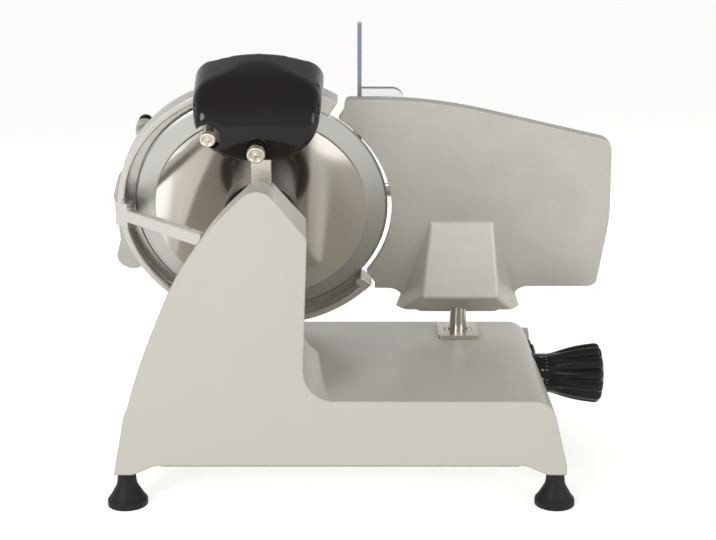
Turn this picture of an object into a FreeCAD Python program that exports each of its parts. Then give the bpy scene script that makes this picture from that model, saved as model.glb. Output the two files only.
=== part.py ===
import FreeCAD, Part
import math
import os
import Sketcher
from FreeCAD import Placement, Rotation, Vector

# Gravity-feed food slicer with a 250 mm blade, seen from the side where the slices fall.
# Layout frame, in millimetres: X runs to the right towards the thickness knob, Y runs back
# from the flat front face of the base, Z runs up from the table. X = 0 is midway between the feet.
# At the end the whole slicer is moved so that the origin lies under the middle of its box.

doc = FreeCAD.newDocument("Slicer")
sheet = doc.addObject("Spreadsheet::Sheet", "Sizes")

SIZES = {
    # Base casting and tower
    "base_depth": 244, "wall": 4.5, "deck_top": 107, "leg_bottom": 36, "skirt_bottom": 45,
    "left_toe_x": -206.5, "left_knee_x": -192.6, "left_knee_z": 110.2, "left_knee_bend": 600,
    "left_hip_x": -137.2, "hip_drop": 3.6, "left_hip_bend": 250,
    "apex_x": -70.7, "apex_rise": 60.3, "apex_bend": 18,
    "shoulder_x": -29, "shoulder_rise": 9.5, "shoulder_bend": 7,
    "root_x": -34.5, "root_bend": 28, "root_reach": 20,
    "right_top_x": 190.5, "right_top_bend": 20, "right_toe_x": 205.5,
    "leg_pad": 17, "leg_slope": 20, "leg_bend": 12,
    "leg_pad_depth": 42, "tower_depth": 150, "draft": 2.3,
    # Blade, its plane leans back towards the tower at the top
    "blade_x": -80, "blade_setback": 66, "blade_lift": 15, "tilt": 20.7,
    "blade_dia": 250, "edge_width": 2.2, "band_width": 20, "blade_body": 4, "blade_rise": 3,
    "blade_bore_dia": 40, "blade_screw_circle": 61, "blade_screw_count": 4,
    "tower_gap": 82.6, "hub_dia": 73, "hub_disc": 8, "hub_gap": 1.5, "shaft_dia": 17,
    "bearing_dia": 40, "bearing_width": 12, "running_gap": 0.05, "spigot_dia": 62,
    # Ring guard round the blade
    "ring_reach": 16, "ring_wall": 4, "ring_lip_thick": 3, "ring_flange": 23, "ring_front": 10,
    "ring_back": 6, "ring_start": 58, "ring_end": 321, "stone_room_start": 80, "stone_room_end": 114,
    "strut_height": 12, "strut_thick": 8, "strut_drop": 4.5, "strut_end_x": -134.7, "strut_back": 110.2,
    "strut_turn": -50.6, "strut_length": 133.5, "strut_boss": 26, "ring_end_gap": 2, "cover_overlap": 17,
    # Gauge plate, one casting with its bracket
    "gauge_thick": 7, "gauge_gap": 4, "gauge_travel": 14,
    "post_dia": 17, "post_x": 119, "post_setback": 38, "post_top": 140, "bracket_top_width": 61,
    "bracket_low_width": 76.5, "bracket_flare": 29, "bracket_bend": 5, "cover_screw_reach": 11.6,
    "cover_width": 42, "cover_length": 48, "cover_thick": 4,
    # Cam and knob that set the slice thickness
    "knob_setback": 86, "knob_z": 79.5, "knob_shaft_dia": 12, "cam_dia": 41, "cam_thick": 8,
    "cam_start": 17.5, "cam_turn": 330, "cam_pin_dia": 4, "cam_groove_depth": 4, "cam_gap": 0.35, "cam_x": 146,
    "knob_flutes": 12, "flute_dia": 9.2, "flute_lean": 8.5,
    "knob_collar_dia": 39, "collar_gap": 2.5, "knob_dia": 60, "knob_collar_start": 190, "knob_end": 264,
    # Drive
    "blade_pulley_dia": 72, "motor_pulley_dia": 18, "pulley_width": 14, "belt_thick": 2, "belt_gap": 0.35,
    "motor_x": -25, "motor_drop": 97, "motor_dia": 76, "motor_room": 174, "motor_shaft_dia": 8,
    # Carriage
    "tray_left": -216, "tray_right": 15, "tray_depth": 196, "tray_gap": 9, "tray_drop": 75,
    "tray_floor": 4, "tray_wall": 5, "tray_wall_height": 60, "rail_back": 28, "rail_z": 75, "rail_dia": 18,
    "tray_rail_dia": 31, "fence_height": 34,
    "pusher_rise": 71, "pusher_rod_dia": 12, "pusher_rod_end": 175, "pusher_start": 18.3, "pusher_collar": 44,
    "pusher_width": 118, "guard_thick": 4, "guard_top": 195, "handle_reach": 38, "arm_x": -100,
    "slider_length": 80, "roller_rise": 8, "roller_axle_dia": 6,
    # Sharpener
    "hood_x": 5.6, "hood_half": 58, "hood_low_half": 50, "hood_low_drop": 18.5, "hood_low_bend": 42,
    "hood_top_rise": 49, "hood_shoulder_rise": 41, "hood_shoulder_bend": 14, "hood_top_bend": 170,
    "hood_crown_rise": 25, "hood_start_z": 17, "hood_front_z": 95, "hood_wall": 2.5, "hood_bend": 9,
    "carrier_z": 60, "carrier_thick": 14, "spindle_dia": 8, "cap_dia": 16, "cap_z": 100, "stone_dia": 26,
    "stone_z": 9.4, "button_dia": 12,
    # Rear shelf, rod ears and inner bosses
    "shelf_depth": 56, "shelf_top": 58, "ear_x": 200, "ear_thick": 12, "ear_rim": 7,
    "pillar_dia": 11, "motor_plate_z": 112, "motor_plate": 5, "opening_margin": 50,
    "web_setback": 116, "web_thick": 6, "block_width": 48, "block_height": 44, "block_length": 50,
    "gauge_rod_dia": 10, "gauge_rod_pitch": 32, "gauge_rod_z": 63,
    "bush_start": 163, "bush_dia": 20, "slot_width": 32, "slot_gap": 1.5, "slot_bend": 5,
    "neck_x": -71.6, "neck_width": 17.5, "neck_back": 116, "neck_depth": 12, "neck_foot_rise": 33,
    "neck_below": 59, "switch_setback": 27, "switch_z": 76, "switch_width": 24, "switch_height": 34,
    "gland_x": -165, "gland_z": 93, "gland_dia": 16, "gland_bore": 7,
    "screw_dia": 4, "screw_length": 9, "small_screw_dia": 3, "clear_hole": 0.2, "bolt_dia": 5, "foot_bolt_dia": 6, "fit_gap": 0.05,
    "housing_flange_dia": 92, "housing_flange": 8, "housing_dia": 66, "housing_circle": 78,
    "pedestal_reach": 26, "pedestal_setback": 17, "pedestal_depth": 26, "plate_thick": 2,
    # Feet
    "foot_x": 198, "foot_front_y": 19, "foot_back": 36, "foot_rim_dia": 37, "foot_top_dia": 15.5,
    "foot_recess": 9, "foot_recess_dia": 13,
}


class Size(float):
    """A size that also knows its formula in the spreadsheet."""

    def __new__(cls, value, text=None):
        made = float.__new__(cls, value)
        made.text = repr(float(value)) if text is None else text
        return made

    def joined(self, other, sign, value, swap=False):
        other = other if isinstance(other, Size) else Size(other)
        pair = (other, self) if swap else (self, other)
        return Size(value, "(%s %s %s)" % (pair[0].text, sign, pair[1].text))

    def __add__(self, other):
        return self.joined(other, "+", float(self) + float(other))

    def __radd__(self, other):
        return self.joined(other, "+", float(other) + float(self), True)

    def __sub__(self, other):
        return self.joined(other, "-", float(self) - float(other))

    def __rsub__(self, other):
        return self.joined(other, "-", float(other) - float(self), True)

    def __mul__(self, other):
        return self.joined(other, "*", float(self) * float(other))

    def __rmul__(self, other):
        return self.joined(other, "*", float(other) * float(self), True)

    def __truediv__(self, other):
        return self.joined(other, "/", float(self) / float(other))

    def __neg__(self):
        return Size(-float(self), "(0 - %s)" % self.text)


class Sizes:
    """The sheet's cells by name, so that v.wall is the wall's Size."""

    def __init__(self, table):
        for row, (name, value) in enumerate(table.items(), 1):
            sheet.set("A%d" % row, name)
            sheet.set("B%d" % row, str(value))
            sheet.setAlias("B%d" % row, name)
            setattr(self, name, Size(value, "Sizes." + name))


v = Sizes(SIZES)
# Places and sizes that follow the base's depth
v.blade_y = v.base_depth - v.blade_setback
v.post_y = v.base_depth - v.post_setback
v.knob_y = v.base_depth - v.knob_setback
v.web_y = v.base_depth - v.web_setback
v.switch_y = v.base_depth - v.switch_setback
v.pedestal_y = v.base_depth - v.pedestal_setback
v.rail_y = v.base_depth + v.rail_back
v.foot_rear_y = v.base_depth + v.foot_back
v.motor_length = v.base_depth - v.motor_room
v.strut_end_y = v.blade_y - v.strut_back
v.neck_y = v.blade_y - v.neck_back
# Places and sizes that follow the blade
v.blade_edge = v.blade_dia / 2
v.blade_z = v.deck_top + v.blade_lift + v.blade_edge
v.left_hip_z = v.blade_z - v.hip_drop
v.apex_z = v.blade_z + v.apex_rise
v.shoulder_z = v.blade_z + v.shoulder_rise
v.strut_z = v.blade_z - v.strut_drop
v.ring_dia = v.blade_dia + v.ring_reach * 2
v.band_inner_dia = v.blade_dia - v.band_width * 2
v.cover_disc_dia = v.blade_dia - v.cover_overlap * 2
v.hood_low_y = v.blade_edge - v.hood_low_drop
v.hood_top_y = v.blade_edge + v.hood_top_rise
v.hood_shoulder_y = v.blade_edge + v.hood_shoulder_rise
v.hood_crown_y = v.blade_edge + v.hood_crown_rise
v.neck_foot_z = v.blade_z + v.neck_foot_rise
v.neck_height = v.blade_edge - v.neck_below
doc.recompute()


def bind(obj, prop, size):
    if isinstance(size, Size):
        obj.setExpression(prop, size.text)
    else:
        setattr(obj, prop, size)


def origin_plane(body, role):
    return next(item for item in body.Origin.OriginFeatures if item.Role == role)


def new_body(label):
    body = doc.addObject("PartDesign::Body", label)
    body.Label = label
    return body


def new_sketch(body, role="XY_Plane", offset=0, angle=0):
    sketch = body.newObject("Sketcher::SketchObject", "Sketch")
    sketch.AttachmentSupport = [(origin_plane(body, role), "")]
    sketch.MapMode = "FlatFace"
    sketch.AttachmentOffset = Placement(Vector(0, 0, float(offset)), Rotation(Vector(0, 0, 1), angle))
    if isinstance(offset, Size):
        sketch.setExpression("AttachmentOffset.Base.z", offset.text)
    return sketch


def fix_point(sketch, index, place, x, y):
    for kind, size in (("DistanceX", x), ("DistanceY", y)):
        number = sketch.addConstraint(Sketcher.Constraint(kind, -1, 1, index, place, float(size)))
        if isinstance(size, Size):
            sketch.setExpression("Constraints[%d]" % number, size.text)


def draw_circle(sketch, radius, x=0.0, y=0.0):
    centre = Vector(float(x), float(y), 0)
    index = sketch.addGeometry(Part.Circle(centre, Vector(0, 0, 1), float(radius)))
    number = sketch.addConstraint(Sketcher.Constraint("Radius", index, float(radius)))
    if isinstance(radius, Size):
        sketch.setExpression("Constraints[%d]" % number, radius.text)
    fix_point(sketch, index, 3, x, y)


def corner_arc(before, corner, after, radius):
    """Centre, start and end of the arc that rounds a corner."""
    a = (before - corner).normalize()
    b = (after - corner).normalize()
    half = a.getAngle(b) / 2
    reach = radius / math.tan(half)
    middle = (a + b).normalize()
    return corner + middle * (radius / math.sin(half)), corner + a * reach, corner + b * reach


def draw_outline(sketch, corners):
    """A closed outline through corners (x, y) or (x, y, radius), each corner held by its sizes."""
    spots = [Vector(float(c[0]), float(c[1]), 0) for c in corners]
    count = len(corners)
    arcs = {}
    for i, corner in enumerate(corners):
        if len(corner) > 2 and corner[2]:
            arcs[i] = corner_arc(spots[i - 1], spots[i], spots[(i + 1) % count], float(corner[2]))
    lines = []
    for i in range(count):
        j = (i + 1) % count
        start = arcs[i][2] if i in arcs else spots[i]
        end = arcs[j][1] if j in arcs else spots[j]
        lines.append(sketch.addGeometry(Part.LineSegment(start, end)))
    for i, corner in enumerate(corners):
        before = lines[i - 1]
        after = lines[i]
        if i not in arcs:
            sketch.addConstraint(Sketcher.Constraint("Coincident", before, 2, after, 1))
            fix_point(sketch, after, 1, corner[0], corner[1])
            continue
        centre, start, end = arcs[i]
        first = math.atan2(start.y - centre.y, start.x - centre.x)
        last = math.atan2(end.y - centre.y, end.x - centre.x)
        left_turn = (spots[i] - spots[i - 1]).cross(spots[(i + 1) % count] - spots[i]).z > 0
        circle = Part.Circle(centre, Vector(0, 0, 1), float(corner[2]))
        span = (first, last) if left_turn else (last, first)
        arc = sketch.addGeometry(Part.ArcOfCircle(circle, *span))
        ends = (1, 2) if left_turn else (2, 1)
        sketch.addConstraint(Sketcher.Constraint("Tangent", before, 2, arc, ends[0]))
        sketch.addConstraint(Sketcher.Constraint("Tangent", arc, ends[1], after, 1))
        number = sketch.addConstraint(Sketcher.Constraint("Radius", arc, float(corner[2])))
        if isinstance(corner[2], Size):
            sketch.setExpression("Constraints[%d]" % number, corner[2].text)
        point = sketch.addGeometry(Part.Point(spots[i]), True)
        sketch.addConstraint(Sketcher.Constraint("PointOnObject", point, 1, before))
        sketch.addConstraint(Sketcher.Constraint("PointOnObject", point, 1, after))
        fix_point(sketch, point, 1, corner[0], corner[1])


def pad(body, sketch, length, reverse=False, both=False, taper=0):
    feature = body.newObject("PartDesign::Pad", "Pad")
    feature.Profile = sketch
    bind(feature, "Length", length)
    feature.Reversed = reverse
    feature.Midplane = both
    if taper:
        bind(feature, "TaperAngle", taper)
    doc.recompute()
    return feature


def cut_away(body, sketch, length, reverse=False, both=False):
    """A pocket that has to take material away."""
    before = body.Shape.Volume
    feature = body.newObject("PartDesign::Pocket", "Pocket")
    feature.Profile = sketch
    bind(feature, "Length", length)
    feature.Reversed = reverse
    feature.Midplane = both
    doc.recompute()
    if body.Shape.Volume >= before - 0.01:
        raise RuntimeError("A pocket in %s cuts nothing" % body.Label)
    return feature


def turned(label, profile, angle=360):
    """A round piece about its own Z axis, from half-profile corners (radius, height[, bend])."""
    body = new_body(label)
    sketch = new_sketch(body, "XZ_Plane")
    draw_outline(sketch, profile)
    feature = body.newObject("PartDesign::Revolution", "Turn")
    feature.Profile = sketch
    feature.ReferenceAxis = (sketch, ["V_Axis"])
    bind(feature, "Angle", angle)
    doc.recompute()
    return body


def ring_profile(inner, outer, bottom, top):
    return [(inner, bottom), (outer, bottom), (outer, top), (inner, top)]


def plate(label, corners, thickness, holes=(), reverse=False):
    """A flat piece on its own XY plane, with round holes (x, y, radius)."""
    body = new_body(label)
    sketch = new_sketch(body)
    draw_outline(sketch, corners)
    pad(body, sketch, thickness, reverse)
    if holes:
        drilled = new_sketch(body)
        for x, y, radius in holes:
            draw_circle(drilled, radius, x, y)
        cut_away(body, drilled, thickness, not reverse)
    return body


def box_corners(left, right, low, high, bend=0):
    return [(left, low, bend), (right, low, bend), (right, high, bend), (left, high, bend)]


def primitive(kind, label, place=None, **sizes):
    obj = doc.addObject("Part::" + kind, label)
    for prop, size in sizes.items():
        bind(obj, prop, size)
    if place is not None:
        obj.Placement = place
    return obj


def joined(label, pieces):
    obj = doc.addObject("Part::MultiFuse", label)
    obj.Shapes = pieces
    obj.Refine = True
    return obj


def taken_from(label, base, tool):
    obj = doc.addObject("Part::Cut", label)
    obj.Base = base
    obj.Tool = tool
    obj.Refine = True
    return obj


def shape_piece(label, shape):
    obj = doc.addObject("Part::Feature", label)
    obj.Shape = shape
    return obj


def at(x, y, z, axis=(0, 0, 1), angle=0):
    return Placement(Vector(float(x), float(y), float(z)), Rotation(Vector(*axis), float(angle)))


ALONG_X = Rotation(Vector(0, 1, 0), 90)
ALONG_Y = Rotation(Vector(1, 0, 0), -90)
BLADE = at(v.blade_x, v.blade_y, v.blade_z, (1, 0, 0), 90 + v.tilt)
CARRIAGE = at(v.blade_x, v.blade_y, v.blade_z, (1, 0, 0), v.tilt)
slope = math.tan(math.radians(v.tilt))


def on_blade(x, y, z):
    """A point in the blade's own frame: x right, y up in its plane, z towards the tower."""
    return BLADE.multVec(Vector(float(x), float(y), float(z)))


def blade_place(x=0, y=0, z=0):
    return Placement(on_blade(x, y, z), BLADE.Rotation)


pieces = {}


def keep(node, obj, place=None):
    """The object becomes the sub-part of this name, moved to its place in the layout frame."""
    obj.Label = node
    if place is not None:
        obj.Placement = place
    pieces[node] = obj
    return obj


def copies(node, template, places):
    """Identical fasteners, one solid at each place, in one node."""
    doc.recompute()
    solids = []
    for place in places:
        solid = template.Shape.copy()
        solid.Placement = place
        solids.append(solid)
    return keep(node, shape_piece(node, Part.makeCompound(solids)))


# Base casting: the platform and the tower, drawn once outside and once a wall thinner
def inset(corners, wall):
    """The same outline moved inwards by a wall, for corners that run anticlockwise."""
    spots = [Vector(float(c[0]), float(c[1]), 0) for c in corners]
    count = len(spots)
    moved = []
    for i, corner in enumerate(corners):
        before = (spots[i] - spots[i - 1]).normalize()
        after = (spots[(i + 1) % count] - spots[i]).normalize()
        inward = Vector(-before.y, before.x, 0) + Vector(-after.y, after.x, 0)
        shift = inward * (wall / (1 + before.dot(after)))
        spot = spots[i] + shift
        bend = float(corner[2]) if len(corner) > 2 else 0
        if bend:
            convex = before.cross(after).z > 0
            bend = max(bend - wall, 0.5) if convex else bend + wall
        moved.append((spot.x, spot.y, bend))
    return moved


platform_outline = [
    (v.left_toe_x, v.leg_bottom),
    (v.left_toe_x + v.leg_pad, v.leg_bottom, v.leg_bend),
    (v.left_toe_x + v.leg_pad + v.leg_slope, v.skirt_bottom, v.leg_bend),
    (v.right_toe_x - v.leg_pad - v.leg_slope, v.skirt_bottom, v.leg_bend),
    (v.right_toe_x - v.leg_pad, v.leg_bottom, v.leg_bend),
    (v.right_toe_x, v.leg_bottom),
    (v.right_toe_x, v.skirt_bottom),
    (v.right_top_x, v.deck_top, v.right_top_bend),
    (v.left_knee_x, v.deck_top, v.right_top_bend),
]
tower_outline = [
    (v.left_toe_x, v.leg_bottom),
    (v.left_toe_x + v.leg_pad, v.leg_bottom, v.leg_bend),
    (v.left_toe_x + v.leg_pad + v.leg_slope, v.skirt_bottom, v.leg_bend),
    (v.root_x + v.root_bend + v.root_reach, v.skirt_bottom),
    (v.root_x + v.root_bend + v.root_reach, v.deck_top),
    (v.root_x, v.deck_top, v.root_bend),
    (v.shoulder_x, v.shoulder_z, v.shoulder_bend),
    (v.apex_x, v.apex_z, v.apex_bend),
    (v.left_hip_x, v.left_hip_z, v.left_hip_bend),
    (v.left_knee_x, v.left_knee_z, v.left_knee_bend),
]


def back_of_tower(height, wall=0.0):
    """How far back the leaning rear wall of the tower stands at a height."""
    foot = on_blade(0, 0, v.tower_gap + wall)
    return foot.y + (foot.z - float(height)) * slope


def tower_form(label, wall, outline):
    body = new_body(label)
    near = new_sketch(body, "XZ_Plane", -v.wall if wall else 0)
    draw_outline(near, outline)
    far = new_sketch(body, "XZ_Plane", -v.tower_depth)
    draw_outline(far, inset(outline, (v.tower_depth - wall) * math.tan(math.radians(v.draft))))
    loft = body.newObject("PartDesign::AdditiveLoft", "Loft")
    loft.Profile = near
    loft.Sections = [far]
    loft.Ruled = True
    doc.recompute()
    rear = new_sketch(body, "YZ_Plane")
    low = float(v.deck_top) - wall
    high = float(v.apex_z) + 20
    behind = float(v.tower_depth) + 40
    corners = [(back_of_tower(low, wall), low, 0), (behind, low), (behind, high), (back_of_tower(high, wall), high)]
    draw_outline(rear, corners)
    cut_away(body, rear, 600, both=True)
    return body


def platform_form(label, wall, outline):
    body = new_body(label)
    sketch = new_sketch(body, "XZ_Plane", -v.wall if wall else 0)
    draw_outline(sketch, outline)
    pad(body, sketch, v.base_depth - v.wall * 2 if wall else v.base_depth, reverse=True)
    return body


wall = float(v.wall)
# The low shelf behind the platform carries the carriage rod between two ears
shelf_outline = platform_outline[:7] + [
    (v.right_toe_x - 4, v.shelf_top, 6),
    (v.left_toe_x + 4, v.shelf_top, 6),
    (v.left_toe_x, v.skirt_bottom),
]


def shelf_form(label, wall, outline, front, depth):
    body = new_body(label)
    sketch = new_sketch(body, "XZ_Plane", -front)
    draw_outline(sketch, outline)
    pad(body, sketch, depth, reverse=True)
    return body


outside = joined("casting_outside", [
    platform_form("platform_outside", 0, platform_outline),
    tower_form("tower_outside", 0, tower_outline),
    shelf_form("shelf_outside", 0, shelf_outline, v.base_depth - v.wall, v.shelf_depth + v.wall)])
inside = joined("casting_inside", [
    platform_form("platform_inside", wall, inset(platform_outline, wall)),
    tower_form("tower_inside", wall, inset(tower_outline, wall)),
    shelf_form("shelf_inside", wall, inset(shelf_outline, wall), v.base_depth, v.shelf_depth - v.wall)])
shell = taken_from("casting_shell", outside, inside)
ears = []
for side, x in (("left", -v.ear_x), ("right", v.ear_x - v.ear_thick)):
    ear = new_body("rod_ear_" + side)
    sketch = new_sketch(ear, "YZ_Plane", x)
    reach = v.rail_dia / 2 + v.ear_rim
    draw_outline(sketch, [(v.rail_y - reach, v.shelf_top - 2), (v.rail_y + reach, v.shelf_top - 2),
                          (v.rail_y + reach, v.rail_z + reach, reach - 0.5),
                          (v.rail_y - reach, v.rail_z + reach, reach - 0.5)])
    pad(ear, sketch, v.ear_thick)
    ears.append(ear)



def along(axis, x, y, z):
    return Placement(Vector(float(x), float(y), float(z)), axis)


# Bosses inside the shell: legs, pillars of the motor plate, knob bush, gauge rods and the neck
bosses = []
foot_spots = [(side * v.foot_x, y) for y in (v.foot_front_y, v.foot_rear_y) for side in (-1, 1)]
for x, y in foot_spots:
    bosses.append(primitive("Cylinder", "leg_boss", at(x, y, v.leg_bottom),
                            Radius=v.foot_top_dia / 2 + 3, Height=v.shelf_top - v.leg_bottom))
motor_spots = [(v.motor_x - 33, -v.motor_drop + 31), (v.motor_x + 41, -v.motor_drop + 23),
               (v.motor_x - 41, -v.motor_drop - 15), (v.motor_x + 41, -v.motor_drop - 15)]
for x, y in motor_spots:
    start = v.tower_gap + v.wall / 2
    bosses.append(primitive("Cylinder", "motor_pillar", blade_place(x, y, start),
                            Radius=v.pillar_dia / 2, Height=v.motor_plate_z - start))
bosses.append(primitive("Cylinder", "knob_boss", along(ALONG_X, v.bush_start, v.knob_y, v.knob_z),
                        Radius=v.bush_dia / 2 + 5, Height=v.right_top_x - v.bush_start))
collar_room = v.knob_collar_dia / 2 + 0.8
cup_start = v.knob_collar_start - v.collar_gap - v.wall
bosses.append(primitive("Cylinder", "knob_cup", along(ALONG_X, cup_start, v.knob_y, v.knob_z),
                        Radius=collar_room + v.wall, Height=20))
rod_spots = [v.post_x + side * v.gauge_rod_pitch / 2 for side in (-1, 1)]
web = new_body("gauge_web")
sketch = new_sketch(web, "XZ_Plane", -v.web_y)
draw_outline(sketch, box_corners(rod_spots[0] - v.gauge_rod_dia, rod_spots[1] + v.gauge_rod_dia,
                                 v.gauge_rod_z - v.gauge_rod_dia, v.deck_top - v.wall / 2))
pad(web, sketch, v.web_thick, reverse=True)
bosses.append(web)
rod_end = v.base_depth - v.wall - 6
for x in rod_spots:
    bosses.append(primitive("Cylinder", "rod_boss", along(ALONG_Y, x, rod_end, v.gauge_rod_z),
                            Radius=v.gauge_rod_dia / 2 + 4, Height=v.wall + 3))
bosses.append(primitive("Box", "neck_boss", at(v.neck_x - v.neck_width / 2 - 4,
                                               v.neck_y - v.neck_depth / 2 - 4, v.neck_foot_z - 3),
                        Length=v.neck_width + 8, Width=v.neck_depth + 8, Height=v.neck_height))
strut_bolt = along(Rotation(Vector(0, 0, 1), v.strut_turn).multiply(ALONG_X), v.strut_end_x, v.strut_end_y, v.strut_z)
bosses.append(primitive("Cylinder", "strut_boss", strut_bolt * at(0, 0, -8), Radius=v.bolt_dia / 2 + 5,
                        Height=v.strut_boss + 8))
inner_bosses = doc.addObject("Part::Common", "inner_bosses")
inner_bosses.Base = joined("bosses", bosses)
inner_bosses.Tool = outside
solid_casting = joined("solid_casting", [shell, inner_bosses] + ears)

# Openings and holes of the casting
holes = []


def hole(kind, place, **sizes):
    holes.append(primitive(kind, "opening", place, **sizes))


def slot_body(label, corners, start, length, role="XY_Plane"):
    body = new_body(label)
    sketch = new_sketch(body, role, start)
    draw_outline(sketch, corners)
    pad(body, sketch, length)
    holes.append(body)


hole("Box", at(-300, v.leg_pad_depth, 0), Length=600, Height=v.skirt_bottom,
     Width=v.base_depth + v.shelf_depth - v.leg_pad_depth * 2)
hole("Box", at(v.left_toe_x + v.opening_margin, v.wall * 2, 0),
     Length=v.right_toe_x - v.left_toe_x - v.opening_margin * 2,
     Width=v.base_depth - v.wall * 4, Height=v.skirt_bottom + v.wall + 1)
slot_body("post_slot", box_corners(v.post_x - v.slot_width / 2, v.post_x + v.slot_width / 2,
                                   v.post_y - v.post_dia / 2 - v.gauge_travel - v.slot_gap,
                                   v.post_y + v.post_dia / 2 + v.slot_gap, v.slot_bend),
          v.deck_top - v.wall * 2, v.wall * 3)
hole("Cylinder", blade_place(0, 0, v.tower_gap - 10), Radius=v.spigot_dia / 2 + v.fit_gap, Height=20)
housing_spots = [(v.housing_circle / 2 * math.cos(math.radians(a)), v.housing_circle / 2 * math.sin(math.radians(a)))
                 for a in (45, 135, 225, 315)]
for x, y in housing_spots:
    hole("Cylinder", blade_place(x, y, v.tower_gap - 5), Radius=v.bolt_dia / 2 + v.fit_gap, Height=15)
for x, y in motor_spots:
    hole("Cylinder", blade_place(x, y, v.motor_plate_z - 9), Radius=v.screw_dia / 2 + v.fit_gap, Height=10)
hole("Cylinder", along(ALONG_X, v.bush_start - 5, v.knob_y, v.knob_z), Radius=v.bush_dia / 2 + v.fit_gap, Height=60)
for x in rod_spots:
    hole("Cylinder", along(ALONG_Y, x, v.web_y - 1, v.gauge_rod_z), Radius=v.gauge_rod_dia / 2 + v.fit_gap,
         Height=v.base_depth - v.wall - v.web_y + 1)
for x, y in foot_spots:
    hole("Cylinder", at(x, y, v.leg_bottom - 5), Radius=v.foot_bolt_dia / 2 + v.fit_gap, Height=23)
hole("Cylinder", along(ALONG_X, -v.ear_x - 5, v.rail_y, v.rail_z), Radius=v.rail_dia / 2 + v.fit_gap,
     Height=v.ear_x * 2 + 10)
hole("Box", at(v.neck_x - v.neck_width / 2 - v.fit_gap, v.neck_y - v.neck_depth / 2 - v.fit_gap, v.neck_foot_z),
     Length=v.neck_width + v.fit_gap * 2, Width=v.neck_depth + v.fit_gap * 2, Height=60)
hole("Cylinder", along(ALONG_Y, v.gland_x, v.base_depth - v.wall - 5, v.gland_z),
     Radius=v.gland_dia / 2 - 3 + v.fit_gap, Height=v.wall + 10)
plate_spots = [(side_x, y) for side_x in (v.left_toe_x + v.opening_margin - 4.5,
                                           v.right_toe_x - v.opening_margin + 4.5)
               for y in (20, v.base_depth / 2, v.base_depth - 20)]
for x, y in plate_spots:
    hole("Cylinder", at(x, y, v.skirt_bottom - 2), Radius=v.screw_dia / 2 + v.fit_gap, Height=10)
ring_bolt_spots = [(v.blade_x + side * 18, v.pedestal_y) for side in (-1, 1)]
for x, y in ring_bolt_spots:
    hole("Cylinder", at(x, y, v.deck_top - 10), Radius=v.bolt_dia / 2 + v.fit_gap, Height=15)
hole("Cylinder", along(ALONG_X, cup_start + v.wall, v.knob_y, v.knob_z), Radius=collar_room, Height=40)
skirt_lean = math.degrees(math.atan2(v.right_toe_x - v.right_top_x, v.deck_top - v.skirt_bottom))
ON_SIDE = Rotation(Vector(0, 1, 0), 90 - skirt_lean)


def side_wall(y, z):
    """A place on the sloping right wall, its own Z pointing out of the wall."""
    x = v.right_top_x + (v.deck_top - z) * math.tan(math.radians(skirt_lean))
    return along(ON_SIDE, x, y, z)


switch_place = side_wall(v.switch_y, v.switch_z)
switch_hole = primitive("Box", "switch_opening", Length=v.switch_height - 4, Width=v.switch_width - 4, Height=20)
switch_hole.Placement = switch_place * at(-v.switch_height / 2 + 2, -v.switch_width / 2 + 2, -12)
holes.append(switch_hole)
holes.append(primitive("Cylinder", "strut_bolt_hole", strut_bolt * at(0, 0, -22),
                       Radius=v.bolt_dia / 2 + v.fit_gap, Height=v.strut_boss + 23))
base_casting = taken_from("casting", solid_casting, joined("openings", holes))
keep("base_casting", base_casting)

# Feet and bottom plate
bolt_room = v.foot_bolt_dia / 2 + v.clear_hole
recess = v.foot_recess_dia / 2
foot = turned("foot_form", [
    (bolt_room, v.foot_recess), (recess, v.foot_recess), (recess, 0), (v.foot_rim_dia / 2, 0),
    (v.foot_rim_dia / 2, 5, 2), (v.foot_rim_dia / 2 - 3, v.foot_recess, 4), (v.foot_top_dia / 2 + 1.5, 20, 14),
    (v.foot_top_dia / 2, v.leg_bottom), (bolt_room, v.leg_bottom)])
copies("rubber_feet", foot, [at(x, y, 0) for x, y in foot_spots])


def screw_form(label, dia, head_dia, head, length):
    """A screw whose head stands on its own XY plane and whose shank goes down."""
    return turned(label, [(0, -length), (dia / 2, -length), (dia / 2, 0), (head_dia / 2, 0),
                          (head_dia / 2, head, head * 0.3), (0, head)])


def turned_over(place):
    return place * at(0, 0, 0, (1, 0, 0), 180)


foot_screw = screw_form("foot_screw_form", v.foot_bolt_dia, v.foot_bolt_dia + 4.5, 4.5,
                        v.shelf_top - v.wall - v.foot_recess)
copies("foot_screws", foot_screw, [turned_over(at(x, y, v.foot_recess)) for x, y in foot_spots])
margin = v.opening_margin - 9
bottom_plate = plate("bottom_plate_form", box_corners(v.left_toe_x + margin, v.right_toe_x - margin, 3,
                                                      v.base_depth - 3, 4), v.plate_thick,
                     [(x, y, v.screw_dia / 2 + v.clear_hole) for x, y in plate_spots])
keep("bottom_plate", bottom_plate, at(0, 0, v.skirt_bottom - v.plate_thick))
screw = screw_form("screw_form", v.screw_dia, v.screw_dia + 3.5, 2.5, v.screw_length)
screw_places = [turned_over(at(x, y, v.skirt_bottom - v.plate_thick)) for x, y in plate_spots]

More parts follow.
